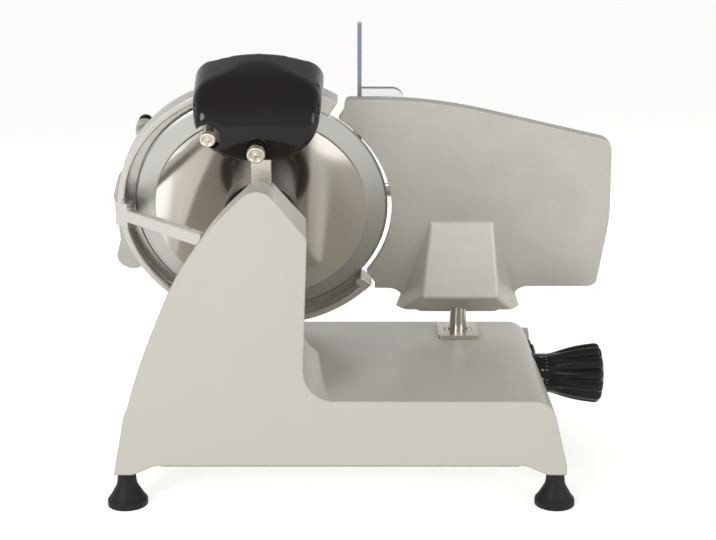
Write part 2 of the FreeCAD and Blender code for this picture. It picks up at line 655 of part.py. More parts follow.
# Bearing housing, bolted to the back of the tower, with two ball bearings
shaft = v.shaft_dia / 2
seat = v.bearing_dia / 2 + v.fit_gap
shoulder = seat - 6
near_hub = v.blade_rise + v.blade_body + v.hub_disc + v.hub_gap
inner_wall = v.tower_gap + v.wall
housing_end = inner_wall + 1
rim_start = v.tower_gap - v.housing_flange
spigot = v.spigot_dia / 2
bolt_hole = v.bolt_dia / 2 + v.fit_gap
housing = turned("housing_form", [
    (shaft + 1.5, near_hub), (v.housing_dia / 2, near_hub), (v.housing_dia / 2, rim_start, 3),
    (v.housing_flange_dia / 2, rim_start), (v.housing_flange_dia / 2, v.tower_gap), (spigot, v.tower_gap),
    (spigot, housing_end), (seat, housing_end), (seat, housing_end - v.bearing_width),
    (shoulder, housing_end - v.bearing_width), (shoulder, near_hub + 3.5 + v.bearing_width),
    (seat, near_hub + 3.5 + v.bearing_width), (seat, near_hub + 3.5), (shaft + 1.5, near_hub + 3.5)])
tapped = new_sketch(housing, "XY_Plane", v.tower_gap)
for x, y in housing_spots:
    draw_circle(tapped, bolt_hole, x, y)
cut_away(housing, tapped, v.housing_flange - 2)
keep("bearing_housing", housing, BLADE)
bolt_head = 4
bolt = screw_form("bolt_form", v.bolt_dia, v.bolt_dia + 3.4, bolt_head, v.wall + v.housing_flange - 3)
bolt_places = [blade_place(x, y, inner_wall) for x, y in housing_spots]
bearing = turned("bearing_form", [
    (shaft + v.running_gap, 0, 0.6), (v.bearing_dia / 2, 0, 0.6), (v.bearing_dia / 2, v.bearing_width, 0.6),
    (shaft + v.running_gap, v.bearing_width, 0.6)])
copies("shaft_bearings", bearing, [blade_place(0, 0, near_hub + 3.5), blade_place(0, 0, housing_end - v.bearing_width)])

# Blade with its flange, shaft and pulley
shaft_end = v.motor_plate_z + 4
keep("blade_shaft", turned("blade_shaft_form", [
    (0, v.blade_rise, 0), (shaft, v.blade_rise), (shaft, shaft_end, 1), (0, shaft_end)]), BLADE)
seat_z = v.blade_rise + v.blade_body
blade_spots = []
for number in range(int(v.blade_screw_count)):
    turn = math.radians(45 + 360 * number / int(v.blade_screw_count))
    blade_spots.append((v.blade_screw_circle / 2 * math.cos(turn), v.blade_screw_circle / 2 * math.sin(turn)))
flange = turned("blade_flange_form", [
    (shaft, v.blade_rise), (v.blade_bore_dia / 2 - v.fit_gap, v.blade_rise), (v.blade_bore_dia / 2 - v.fit_gap, seat_z),
    (v.hub_dia / 2, seat_z), (v.hub_dia / 2, seat_z + v.hub_disc, 1.5), (shaft, seat_z + v.hub_disc)])
tapped = new_sketch(flange, "XY_Plane", seat_z)
for x, y in blade_spots:
    draw_circle(tapped, bolt_hole, x, y)
cut_away(flange, tapped, v.hub_disc, reverse=True)
keep("blade_flange", flange, BLADE)
blade_edge = v.blade_edge
band = v.band_inner_dia / 2
blade = turned("blade_form", [
    (v.blade_bore_dia / 2, v.blade_rise), (band + 3, v.blade_rise), (blade_edge - 7, 0), (blade_edge, 0),
    (blade_edge, 0.3), (blade_edge - v.edge_width, 1.6), (band + 0.5, 5.2), (band - 0.5, seat_z),
    (v.blade_bore_dia / 2, seat_z)])
drilled = new_sketch(blade, "XY_Plane", v.blade_rise)
for x, y in blade_spots:
    draw_circle(drilled, bolt_hole, x, y)
cut_away(blade, drilled, v.blade_body, reverse=True)
keep("blade", blade, BLADE)
blade_screw = screw_form("blade_screw_form", v.bolt_dia, v.bolt_dia + 4, v.blade_rise - 0.4, v.blade_body + 7)
copies("blade_screws", blade_screw, [turned_over(blade_place(x, y, v.blade_rise)) for x, y in blade_spots])


def pulley(label, bore, rim, start, width, web):
    """A belt pulley with two rims, lightened on both sides where it is large enough."""
    side = [(rim + 2, start), (rim + 2, start + 1.5), (rim, start + 1.5), (rim, start + width - 1.5),
            (rim + 2, start + width - 1.5), (rim + 2, start + width)]
    if not web:
        return turned(label, [(bore, start)] + side + [(bore, start + width)])
    middle = start + width / 2
    hub = bore + 8
    return turned(label, [(bore, start), (hub, start), (hub, middle - web / 2), (rim - 4, middle - web / 2),
                          (rim - 4, start)] + side + [
        (rim - 4, start + width), (rim - 4, middle + web / 2), (hub, middle + web / 2), (hub, start + width),
        (bore, start + width)])


belt_start = inner_wall + bolt_head + 2
belt_end = belt_start + v.pulley_width
keep("blade_pulley", pulley("blade_pulley_form", shaft, v.blade_pulley_dia / 2, belt_start, v.pulley_width, 4), BLADE)
nut = primitive("Prism", "pulley_nut_form", BLADE * at(0, 0, belt_end), Polygon=6, Circumradius=14, Height=6)
keep("pulley_nut", taken_from("pulley_nut", nut, primitive("Cylinder", "nut_bore", BLADE * at(0, 0, belt_end - 1),
                                                           Radius=shaft, Height=8)))

# Motor on its plate below the blade shaft, and the belt between the two pulleys
motor_axis = (v.motor_x, -v.motor_drop)
motor_z = v.motor_plate_z + v.motor_plate
MOTOR = blade_place(motor_axis[0], motor_axis[1])
thin = v.motor_shaft_dia / 2
keep("motor_shaft", turned("motor_shaft_form", [(0, belt_start - 2), (thin, belt_start - 2), (thin, motor_z + 10),
                                                (0, motor_z + 10)]), MOTOR)
keep("motor_pulley", pulley("motor_pulley_form", thin, v.motor_pulley_dia / 2, belt_start, v.pulley_width, 0), MOTOR)
case = v.motor_dia / 2
motor = turned("motor_form", [
    (thin + v.running_gap, motor_z), (case, motor_z), (case, motor_z + 7, 1), (case - 1.5, motor_z + 7),
    (case - 1.5, motor_z + v.motor_length - 9), (case, motor_z + v.motor_length - 9, 1),
    (case, motor_z + v.motor_length, 4), (0, motor_z + v.motor_length), (0, motor_z + 12),
    (thin + v.running_gap, motor_z + 12)])
motor_bolt_spots = [((case - 10) * math.cos(math.radians(a)), (case - 10) * math.sin(math.radians(a)))
                    for a in (60, 180, 300)]
tapped = new_sketch(motor, "XY_Plane", motor_z)
for x, y in motor_bolt_spots:
    draw_circle(tapped, v.screw_dia / 2 + v.fit_gap, x, y)
cut_away(motor, tapped, 9, reverse=True)
keep("drive_motor", motor, MOTOR)
edge = 12
motor_plate = plate("motor_plate_form", box_corners(motor_spots[2][0] - edge, motor_spots[3][0] + edge,
                                                    motor_spots[2][1] - edge, motor_spots[0][1] + edge, 8),
                    v.motor_plate, [(x, y, v.screw_dia / 2 + v.clear_hole) for x, y in motor_spots]
                    + [(v.motor_x + x, -v.motor_drop + y, v.screw_dia / 2 + v.clear_hole) for x, y in motor_bolt_spots]
                    + [(motor_axis[0], motor_axis[1], thin + 8)])
keep("motor_plate", motor_plate, BLADE * at(0, 0, v.motor_plate_z))
screw_places += [blade_place(x, y, motor_z) for x, y in motor_spots]
screw_places += [turned_over(MOTOR * at(x, y, v.motor_plate_z)) for x, y in motor_bolt_spots]
copies("plate_screws", screw, screw_places)


def belt_loop(label, gap, start, width):
    """The band that runs round both pulleys at a distance from their rims."""
    body = new_body(label)
    sketch = new_sketch(body, "XY_Plane", start)
    large = v.blade_pulley_dia / 2 + gap
    small = v.motor_pulley_dia / 2 + gap
    way = Vector(float(v.motor_x), -float(v.motor_drop), 0)
    aim = math.atan2(way.y, way.x)
    spread = math.acos((large - small) / way.Length)
    rims = []
    for radius, centre, span in ((large, (0, 0), (aim + spread, aim - spread + 2 * math.pi)),
                                 (small, motor_axis, (aim - spread, aim + spread))):
        circle = Part.Circle(Vector(float(centre[0]), float(centre[1]), 0), Vector(0, 0, 1), float(radius))
        rim = sketch.addGeometry(Part.ArcOfCircle(circle, *span))
        number = sketch.addConstraint(Sketcher.Constraint("Radius", rim, float(radius)))
        sketch.setExpression("Constraints[%d]" % number, radius.text)
        fix_point(sketch, rim, 3, centre[0], centre[1])
        rims.append(rim)
    for first, second in ((rims[0], rims[1]), (rims[1], rims[0])):
        start_point = sketch.getPoint(first, 2)
        end_point = sketch.getPoint(second, 1)
        run = sketch.addGeometry(Part.LineSegment(start_point, end_point))
        sketch.addConstraint(Sketcher.Constraint("Tangent", first, 2, run, 1))
        sketch.addConstraint(Sketcher.Constraint("Tangent", run, 2, second, 1))
    pad(body, sketch, width)
    body.Placement = BLADE
    return body


belt_width = v.pulley_width - 4
keep("drive_belt", taken_from("drive_belt", belt_loop("belt_outside", v.belt_gap + v.belt_thick, belt_start + 2, belt_width),
                              belt_loop("belt_inside", v.belt_gap, belt_start + 1, belt_width + 2)))

# Ring guard round the blade with its cover, foot and strut
ring = v.ring_dia / 2
ring_in = ring - v.ring_wall
flange_in = ring - v.ring_flange
flange_front = v.ring_lip_thick - v.ring_back
band_back = [(ring_in, flange_front), (flange_in, flange_front), (flange_in, -v.ring_back)]
band_profile = [(ring, -v.ring_back, 1), (ring, v.ring_front, 1),
                (ring_in - v.ring_lip_thick, v.ring_front, 1), (ring_in - v.ring_lip_thick, v.ring_front - v.ring_lip_thick),
                (ring_in, v.ring_front - v.ring_lip_thick)] + band_back
low_profile = [(ring, -v.ring_back, 1), (ring, v.ring_front - 8), (ring_in, v.ring_front - 8)] + band_back


def ring_piece(label, profile, start, end):
    body = turned(label, profile, end - start)
    body.Placement = BLADE * at(0, 0, 0, (0, 0, 1), start)
    return body


ring_end_in = blade_edge + v.ring_end_gap
top_end = ring_piece("ring_top_end", ring_profile(ring_end_in, ring + 3, -v.ring_back, v.ring_front),
                     v.ring_start, v.ring_start + 7)
low_end = ring_piece("ring_low_end", ring_profile(ring_end_in, ring, -v.ring_back, v.ring_front),
                     v.ring_end - 4, v.ring_end)
pedestal = taken_from("pedestal", primitive(
    "Box", "pedestal_block", at(v.blade_x - v.pedestal_reach, v.pedestal_y - v.pedestal_depth / 2, v.deck_top),
    Length=v.pedestal_reach * 2, Width=v.pedestal_depth, Height=15),
    primitive("Cylinder", "pedestal_room", blade_place(0, 0, -40), Radius=ring_in, Height=80))
strut_place = along(Rotation(Vector(0, 0, 1), v.strut_turn), v.strut_end_x, v.strut_end_y, v.strut_z)
strut = primitive("Box", "strut_bar", strut_place * at(-v.strut_length, -v.strut_thick / 2, -v.strut_height / 2),
                  Length=v.strut_length + 15, Width=v.strut_thick, Height=v.strut_height)
strut_lug = primitive("Box", "strut_lug", strut_place * at(-v.strut_length - 3, -v.strut_thick / 2, -v.strut_height),
                      Length=22, Width=v.strut_thick + 5, Height=v.strut_height * 2)
ring_bands = [ring_piece("ring_band", band_profile, v.ring_start + 0.5, v.stone_room_start),
              ring_piece("ring_band_low", low_profile, v.stone_room_start, v.stone_room_end),
              ring_piece("ring_band", band_profile, v.stone_room_end, v.ring_end - 0.5)]
ring_solid = joined("ring_solid", ring_bands + [top_end, low_end, pedestal, strut, strut_lug])
ring_holes = [primitive("Cylinder", "ring_room", blade_place(0, 0, flange_front), Radius=ring_end_in, Height=v.ring_front + 12)]
for x, y in ring_bolt_spots:
    ring_holes.append(primitive("Cylinder", "ring_bolt_hole", at(x, y, v.deck_top - 1), Radius=bolt_hole, Height=11))
ring_holes.append(primitive("Cylinder", "strut_thread", strut_bolt * at(0, 0, -16), Radius=bolt_hole, Height=40))
cover_spots = []
cover_turns = (75, 183, 240)
for turn in cover_turns:
    reach = (ring + ring_in) / 2
    cover_spots.append((reach * math.cos(math.radians(turn)), reach * math.sin(math.radians(turn))))
for x, y in cover_spots:
    ring_holes.append(primitive("Cylinder", "cover_thread", blade_place(x, y, -v.ring_back - 1),
                                Radius=v.small_screw_dia / 2 + v.fit_gap, Height=9))
ring_guard = taken_from("ring_guard", taken_from("ring_clear", ring_solid, joined("ring_openings", ring_holes)), outside)
keep("ring_guard", ring_guard)

cover = turned("blade_cover_form", [(0, -v.ring_back - v.plate_thick), (v.cover_disc_dia / 2, -v.ring_back - v.plate_thick),
                                    (v.cover_disc_dia / 2, -v.ring_back), (0, -v.ring_back)])
for turn in cover_turns:
    tab = new_sketch(cover, "XY_Plane", -v.ring_back - v.plate_thick, turn)
    draw_outline(tab, box_corners(v.cover_disc_dia / 2 - 6, ring - 0.5, -9, 9, 2))
    pad(cover, tab, v.plate_thick)
countersunk = new_sketch(cover, "XY_Plane", -v.ring_back - v.plate_thick)
flush_head = v.small_screw_dia / 2 + 1.2
for x, y in cover_spots:
    draw_circle(countersunk, flush_head + v.fit_gap, x, y)
cut_away(cover, countersunk, v.plate_thick, reverse=True)
keep("blade_cover", cover, BLADE)
cover_screw = turned("cover_screw_form", [(0, 0), (flush_head, 0), (flush_head, v.plate_thick),
                                          (v.small_screw_dia / 2, v.plate_thick),
                                          (v.small_screw_dia / 2, v.plate_thick + 7), (0, v.plate_thick + 7)])
copies("cover_screws", cover_screw, [blade_place(x, y, -v.ring_back - v.plate_thick) for x, y in cover_spots])
bolt_places += [turned_over(at(x, y, v.deck_top - v.wall)) for x, y in ring_bolt_spots]
copies("frame_bolts", bolt, bolt_places)
keep("strut_bolt", screw_form("strut_bolt_form", v.bolt_dia, v.bolt_dia + 3.4, bolt_head, v.strut_boss + 14),
     strut_bolt * at(0, 0, v.strut_boss))

# Gauge plate: one casting with the bracket that stands on the post
plate_outline = [
    (84, 123.8, 5), (165, 123.5, 420), (338.5, 79, 16), (345.5, -10, 250), (339.5, -93, 9), (262, -93, 16),
    (241, -125.6, 9), (158.5, -125.6, 9), (134, -95.5, 16), (112.9, -95.3), (112.8, -88), (95, -60), (60, -60),
    (60, 75), (82.3, 111)]
gauge_flat = new_body("gauge_flat")
sketch = new_sketch(gauge_flat)
draw_outline(sketch, plate_outline)
pad(gauge_flat, sketch, v.gauge_thick)
round_room = new_sketch(gauge_flat)
draw_circle(round_room, blade_edge + v.gauge_gap)
cut_away(gauge_flat, round_room, v.gauge_thick, reverse=True)
gauge_flat.Placement = BLADE
def plate_face(height):
    """Where the gauge plate's slope stands at a height, a little inside the plate."""
    return v.blade_y + (v.blade_z - height) * slope - v.gauge_thick / 2


bracket_front = v.post_y - 31
bracket_low = v.post_top - 7
flared = new_body("bracket_flared")
sketch = new_sketch(flared, "XZ_Plane", -bracket_front)
top_half = v.bracket_top_width / 2
low_half = v.bracket_low_width / 2
fall = (low_half - top_half) / (231 - 152.5)
foot_half = low_half + fall * (152.5 - bracket_low)
draw_outline(sketch, [(v.post_x - foot_half, bracket_low), (v.post_x + foot_half, bracket_low),
                      (v.post_x + top_half, 231), (v.post_x - top_half, 231)])
pad(flared, sketch, 46, reverse=True, taper=v.bracket_flare)
side_form = new_body("bracket_side")
sketch = new_sketch(side_form, "YZ_Plane", v.post_x)
draw_outline(sketch, [(bracket_front, 236), (bracket_front, 152.5), (bracket_front + 27, bracket_low),
                      (plate_face(bracket_low), bracket_low), (plate_face(236), 236)])
pad(side_form, sketch, 200, both=True)
bracket = doc.addObject("Part::Common", "bracket")
bracket.Base = flared
bracket.Tool = side_form


def rounded(label, base, radius, wanted):
    """The same solid with the edges rounded that the test picks out."""
    doc.recompute()
    obj = doc.addObject("Part::Fillet", label)
    obj.Base = base
    obj.Edges = [(i, float(radius), float(radius)) for i, edge in enumerate(base.Shape.Edges, 1) if wanted(edge)]
    return obj


def on_bracket_front(edge):
    box = edge.BoundBox
    return box.YMin < bracket_front + 20 and box.ZMax < 233 and box.YMax < bracket_front + 28.5


bracket_round = rounded("bracket_round", bracket, v.bracket_bend, on_bracket_front)
post_hole = primitive("Cylinder", "post_hole", at(v.post_x, v.post_y, 100), Radius=v.post_dia / 2, Height=v.post_top - 100)
keep("gauge_plate", taken_from("gauge_plate", joined("gauge_solid", [gauge_flat, bracket_round]), post_hole))
block_top = v.gauge_rod_z - v.gauge_rod_dia + v.block_height
post_foot = block_top - 12
keep("gauge_post", primitive("Cylinder", "gauge_post", at(v.post_x, v.post_y, post_foot), Radius=v.post_dia / 2,
                             Height=v.post_top - post_foot))
cover_z = v.deck_top + 0.2
slot_cover = plate("slot_cover_form", box_corners(-v.cover_width / 2, v.cover_width / 2, -v.cover_length / 2,
                                                  v.cover_length / 2, 3), v.cover_thick,
                   [(0, 0, v.post_dia / 2)] + [(side * v.cover_screw_reach, 0, v.small_screw_dia / 2 + v.clear_hole)
                                               for side in (-1, 1)])
keep("slot_cover", slot_cover, at(v.post_x, v.post_y, cover_z))
slot_screw = screw_form("slot_screw_form", v.small_screw_dia, v.small_screw_dia + 2.6, 1.8, v.cover_thick + 16)
copies("slot_cover_screws", slot_screw, [at(v.post_x + side * v.cover_screw_reach, v.post_y, cover_z + v.cover_thick)
                                         for side in (-1, 1)])
block_start = v.post_y - v.block_length / 2
pin_y = v.knob_y + v.cam_start
cam_face = v.cam_x
block = new_body("slide_block_form")
sketch = new_sketch(block, "YZ_Plane", v.post_x - v.block_width / 2)
draw_outline(sketch, [
    (block_start, v.gauge_rod_z - v.gauge_rod_dia, 2), (block_start + v.block_length, v.gauge_rod_z - v.gauge_rod_dia, 2),
    (block_start + v.block_length, block_top, 4), (block_start, block_top, 4)])
pad(block, sketch, v.block_width)
tongue = primitive("Box", "block_tongue", at(cam_face - 10, pin_y - 8, v.knob_z - 6.5), Length=8, Height=13,
                   Width=block_start + 6 - pin_y + 8)
block_holes = [primitive("Cylinder", "post_seat", at(v.post_x, v.post_y, post_foot), Radius=v.post_dia / 2, Height=30),
               primitive("Cylinder", "pin_seat", along(ALONG_X, cam_face - 8.5, pin_y, v.knob_z),
                         Radius=v.cam_pin_dia / 2, Height=20)]
for x in rod_spots:
    block_holes.append(primitive("Cylinder", "rod_bore", along(ALONG_Y, x, block_start - 5, v.gauge_rod_z),
                                 Radius=v.gauge_rod_dia / 2 + v.running_gap, Height=v.block_length + 10))
for side in (-1, 1):
    block_holes.append(primitive("Cylinder", "cover_thread", at(v.post_x + side * v.cover_screw_reach, v.post_y,
                                                                cover_z - 17),
                                 Radius=v.small_screw_dia / 2 + v.fit_gap, Height=20))
keep("slide_block", taken_from("slide_block", joined("slide_solid", [block, tongue]), joined("slide_openings", block_holes)))
keep("follower_pin", primitive("Cylinder", "follower_pin", along(ALONG_X, cam_face - 8.5, pin_y, v.knob_z),
                               Radius=v.cam_pin_dia / 2, Height=8.5 + v.cam_groove_depth - 0.3))
rod_length = rod_end + 4 - v.web_y
copies("gauge_rods", primitive("Cylinder", "gauge_rod_form", Radius=v.gauge_rod_dia / 2, Height=rod_length),
       [along(ALONG_Y, x, v.web_y, v.gauge_rod_z) for x in rod_spots])

# Thickness knob on its shaft, with the spiral cam that moves the gauge plate
bush_end = cup_start + v.wall
knob_shaft = v.knob_shaft_dia / 2
KNOB = along(ALONG_X, 0, v.knob_y, v.knob_z)
bush = turned("knob_bush_form", ring_profile(knob_shaft + v.running_gap, v.bush_dia / 2, v.bush_start, bush_end))
keep("knob_bush", bush, KNOB)
shaft_start = cam_face + v.cam_groove_depth + 0.5
keep("knob_shaft", turned("knob_shaft_form", [(0, shaft_start), (knob_shaft, shaft_start),
                                              (knob_shaft, v.knob_collar_start + 28), (0, v.knob_collar_start + 28)]), KNOB)
collar = v.knob_collar_dia / 2
grip = v.knob_dia / 2
knob_length = v.knob_end - v.knob_collar_start
knob_form = turned("knob_form", [(knob_shaft, 0), (collar, 0), (collar, 18, 30), (grip - 1.7, 42, 40),
                                 (grip, knob_length - 7, 5), (0, knob_length), (0, 28), (knob_shaft, 28)])
flutes = []
for number in range(int(v.knob_flutes)):
    turn = at(0, 0, 0, (0, 0, 1), 360 * number / int(v.knob_flutes))
    lean = at(grip + 1.6, 0, knob_length + 4, (0, 1, 0), v.flute_lean)
    flutes.append(primitive("Cylinder", "flute", turn * lean * at(0, 0, -72), Radius=v.flute_dia / 2, Height=80))
keep("thickness_knob", taken_from("thickness_knob", knob_form, joined("flutes", flutes)),
     along(ALONG_X, v.knob_collar_start, v.knob_y, v.knob_z))


def cam_groove(half_width):
    """A spiral band whose middle comes nearer to the axis as the knob turns the pin inwards."""
    fall = v.gauge_travel / math.radians(v.cam_turn)
    sides = []
    steps = 24
    for side in (1, -1):
        points = []
        for step in range(steps + 1):
            turn = math.radians(v.cam_turn) * step / steps
            reach = v.cam_start - fall * turn
            outward = Vector(math.sin(turn), math.cos(turn), 0)
            onward = Vector(math.cos(turn), -math.sin(turn), 0)
            normal = (outward * reach + onward * fall).normalize()
            points.append(outward * reach + normal * (side * half_width))
        sides.append(points)
    outer = Part.BSplineCurve()
    outer.interpolate(sides[0])
    inner = Part.BSplineCurve()
    inner.interpolate(sides[1][::-1])
    ends = []
    for step, onto in ((0, -1), (steps, 1)):
        turn = math.radians(v.cam_turn) * step / steps
        reach = v.cam_start - fall * turn
        middle = Vector(math.sin(turn), math.cos(turn), 0) * reach
        onward = Vector(math.cos(turn), -math.sin(turn), 0) * (onto * half_width)
        ends.append(middle + onward)
    near_arc = Part.Arc(sides[1][0], ends[0], sides[0][0])
    far_arc = Part.Arc(sides[0][-1], ends[1], sides[1][-1])
    wire = Part.Wire([outer.toShape(), far_arc.toShape(), inner.toShape(), near_arc.toShape()])
    return Part.Face(wire).extrude(Vector(0, 0, float(v.cam_groove_depth)))


groove = shape_piece("cam_groove", cam_groove(float(v.cam_pin_dia / 2 + v.cam_gap)))
disc = turned("cam_form", [(0, 0), (v.cam_dia / 2, 0, 0.8), (v.cam_dia / 2, v.cam_thick, 0.8), (knob_shaft + 4, v.cam_thick),
                           (knob_shaft + 4, v.cam_thick + 6), (knob_shaft, v.cam_thick + 6),
                           (knob_shaft, v.cam_groove_depth + 0.5), (0, v.cam_groove_depth + 0.5)])
keep("cam_disc", taken_from("cam_disc", disc, groove), along(ALONG_X, cam_face, v.knob_y, v.knob_z))

# Sharpener on its neck above the tower, under a glossy hood
neck_block = primitive("Box", "neck_block", at(v.neck_x - v.neck_width / 2, v.neck_y - v.neck_depth / 2, v.neck_foot_z),
                       Length=v.neck_width, Width=v.neck_depth, Height=v.neck_height)
carrier_front = v.carrier_z + v.carrier_thick
neck_room = primitive("Box", "neck_room", BLADE * at(-50, 60, carrier_front - 60), Length=120, Width=120, Height=60)


def hood_form(label, wall, start):
    """The hood's block: a shield seen along the blade's axis, cut by its side profile."""
    shield = new_body(label + "_shield")
    sketch = new_sketch(shield, "XY_Plane", start)
    outline = [
        (v.hood_x - v.hood_low_half, v.hood_low_y, v.hood_low_bend),
        (v.hood_x + v.hood_low_half, v.hood_low_y, v.hood_low_bend),
        (v.hood_x + v.hood_half, v.hood_shoulder_y, v.hood_shoulder_bend), (v.hood_x, v.hood_top_y, v.hood_top_bend),
        (v.hood_x - v.hood_half, v.hood_shoulder_y, v.hood_shoulder_bend)]
    draw_outline(sketch, inset(outline, wall) if wall else outline)
    pad(shield, sketch, v.hood_front_z - wall - start)
    shield.Placement = BLADE
    side = new_body(label + "_side")
    sketch = new_sketch(side, "YZ_Plane", 0)
    low = v.hood_low_y - 5
    front = v.hood_front_z - wall
    draw_outline(sketch, [(low, start), (v.hood_top_y + 1 - wall, start), (v.hood_top_y - 5 - wall, 58, 70),
                          (v.hood_crown_y - wall, front, 34), (low, front)])
    pad(side, sketch, 200, both=True)
    side.Placement = BLADE
    form = doc.addObject("Part::Common", label)
    form.Base = shield
    form.Tool = side
    return form


def hood_rim(edge):
    """The edges where the hood's round sides meet its front and top, without the seams between."""
    spot = BLADE.inverse().multVec(edge.CenterOfMass)
    run = BLADE.Rotation.inverted().multVec(edge.tangentAt((edge.FirstParameter + edge.LastParameter) / 2))
    if spot.z < v.hood_start_z + 0.1 or abs(run.z) > 0.999:
        return False
    return abs(run.x) < 0.999 or spot.y < v.hood_low_y + 0.1


spindle_spots = [(5.4, v.blade_edge - 3), (-37, v.blade_edge + 8)]
spindle = v.spindle_dia / 2
neck_bore = primitive("Cylinder", "neck_bore", blade_place(spindle_spots[0][0], spindle_spots[0][1], 50),
                      Radius=spindle + v.running_gap, Height=60)
keep("sharpener_neck", taken_from("sharpener_neck", neck_block, joined("neck_openings", [neck_room, neck_bore])))
hood_outside = rounded("hood_outside", hood_form("hood_outer", 0, v.hood_start_z), v.hood_bend, hood_rim)
hood_inside = hood_form("hood_inner", v.hood_wall, v.hood_start_z - 5)
hood_holes = [hood_inside]
for (x, y), room in zip(spindle_spots, (spindle + 1, v.cap_dia / 2 + 2)):
    hood_holes.append(primitive("Cylinder", "spindle_opening", blade_place(x, y, 60), Radius=room, Height=60))
hood_holes.append(primitive("Box", "neck_slot", at(v.neck_x - v.neck_width / 2 - 0.3, v.neck_y - v.neck_depth / 2 - 0.3,
                                                   v.deck_top + 180),
                            Length=v.neck_width + 0.6, Width=v.neck_depth + 0.6, Height=v.neck_height))
keep("sharpener_hood", taken_from("sharpener_hood", hood_outside, joined("hood_openings", hood_holes)))
carrier = doc.addObject("Part::Common", "carrier_block")
carrier.Base = hood_form("carrier_form", v.hood_wall + 0.1, v.hood_start_z - 4)
carrier.Tool = primitive("Box", "carrier_slab", BLADE * at(-100, 90, v.carrier_z), Length=200, Width=100,
                         Height=v.carrier_thick)
carrier_holes = [primitive("Cylinder", "spindle_bore", blade_place(x, y, 50), Radius=spindle + v.running_gap, Height=40)
                 for x, y in spindle_spots]
keep("sharpener_carrier", taken_from("sharpener_carrier", carrier, joined("spindle_bores", carrier_holes)))
for name, (x, y), cap_z, cap in (("sharpening", spindle_spots[0], v.cap_z, v.cap_dia / 2),
                                 ("deburring", spindle_spots[1], v.cap_z - 8, v.cap_dia / 2 - 1)):
    keep(name + "_button", turned(name + "_button_form", [
        (0, v.stone_z - 2), (spindle, v.stone_z - 2), (spindle, cap_z), (cap, cap_z), (cap, cap_z + 6, 1.5),
        (spindle, cap_z + 6), (spindle, cap_z + 4.8), (0, cap_z + 4.8)]), blade_place(x, y))
    keep(name + "_stone", turned(name + "_stone_form", [
        (spindle + v.running_gap, v.stone_z), (v.stone_dia / 2, v.stone_z, 0.8), (v.stone_dia / 2, v.stone_z + 6, 0.8),
        (spindle + v.running_gap, v.stone_z + 6)]), blade_place(x, y))

# Carriage: a tray parallel to the blade's slope, carried by an arm on the rear rod
tray_left = v.tray_left - v.blade_x
tray_right = v.tray_right - v.blade_x
tray_length = v.tray_depth - v.tray_gap
tray = new_body("tray_form")
sketch = new_sketch(tray, "XZ_Plane", -v.tray_gap)
floor_low = -v.tray_drop - v.tray_floor
draw_outline(sketch, [
    (tray_left, floor_low, 2), (tray_right, floor_low, 2), (tray_right, floor_low + v.tray_wall_height, 2),
    (tray_right - v.tray_wall, floor_low + v.tray_wall_height, 2), (tray_right - v.tray_wall, -v.tray_drop, 4),
    (tray_left, -v.tray_drop)])
pad(tray, sketch, tray_length, reverse=True)
tray.Placement = CARRIAGE


def along_carriage(x, start, height):
    return CARRIAGE * along(ALONG_Y, x, start, height)


rail_height = floor_low + v.tray_rail_dia / 2 - 3
tray_rail = primitive("Cylinder", "tray_rail", along_carriage(tray_left, v.tray_gap, rail_height),
                      Radius=v.tray_rail_dia / 2, Height=tray_length)
pusher_x = tray_left - 1
pusher_height = -v.tray_drop + v.pusher_rise
lugs = []
for start in (v.tray_gap, v.pusher_rod_end - 16):
    lug = new_body("rod_lug")
    sketch = new_sketch(lug, "XZ_Plane", -start)
    draw_outline(sketch, [(pusher_x - 9, rail_height), (pusher_x + 9, rail_height),
                          (pusher_x + 9, pusher_height + 9, 8.5), (pusher_x - 9, pusher_height + 9, 8.5)])
    pad(lug, sketch, 9, reverse=True)
    lug.Placement = CARRIAGE
    lugs.append(lug)
fence = primitive("Box", "tray_fence", CARRIAGE * at(pusher_x - 9, v.tray_gap, rail_height), Length=6,
                  Width=tray_length, Height=v.fence_height)
tray_holes = [primitive("Cylinder", "rod_seat", along_carriage(pusher_x, v.tray_gap + 3, pusher_height),
                        Radius=v.pusher_rod_dia / 2 + v.fit_gap, Height=v.tray_depth)]
guard_spots = [(30, -35), (80, -35)]
for d, height in guard_spots:
    tray_holes.append(primitive("Cylinder", "guard_thread", CARRIAGE * along(ALONG_X, tray_right - 8, d, height),
                                Radius=v.screw_dia / 2 + v.fit_gap, Height=20))
keep("product_tray", taken_from("product_tray", joined("tray_solid", [tray, tray_rail, fence] + lugs),
                                joined("tray_openings", tray_holes)))
guard_x = tray_right
guard_wall = new_body("guard_wall")
sketch = new_sketch(guard_wall, "YZ_Plane", guard_x)
draw_outline(sketch, [
    (v.tray_gap, floor_low + 20, 6), (v.tray_gap + 90, floor_low + 20, 12), (v.tray_gap + 90, 120, 30),
    (v.tray_gap + 30, v.guard_top - 12, 30), (v.tray_gap, v.guard_top)])
pad(guard_wall, sketch, v.guard_thick)
guard_wall.Placement = CARRIAGE
guard_leg = new_body("guard_leg")
sketch = new_sketch(guard_leg, "XZ_Plane", -v.tray_gap)
draw_outline(sketch, [(guard_x, 20), (guard_x + 44, 20, 8), (guard_x + 44, 127, 12), (guard_x, 127)])
pad(guard_leg, sketch, v.guard_thick, reverse=True)
guard_leg.Placement = CARRIAGE
guard_holes = [primitive("Cylinder", "guard_hole", CARRIAGE * along(ALONG_X, guard_x - 2, d, height),
                         Radius=v.screw_dia / 2 + v.clear_hole, Height=10) for d, height in guard_spots]
keep("hand_guard", taken_from("hand_guard", joined("guard_solid", [guard_wall, guard_leg]), joined("guard_holes", guard_holes)))
guard_screw = screw_form("guard_screw_form", v.screw_dia, v.screw_dia + 3.5, 2.5, v.guard_thick + v.tray_wall - 0.5)
copies("hand_guard_screws", guard_screw, [CARRIAGE * along(ALONG_X, guard_x + v.guard_thick, d, height)
                                          for d, height in guard_spots])
handle_height = floor_low + 14
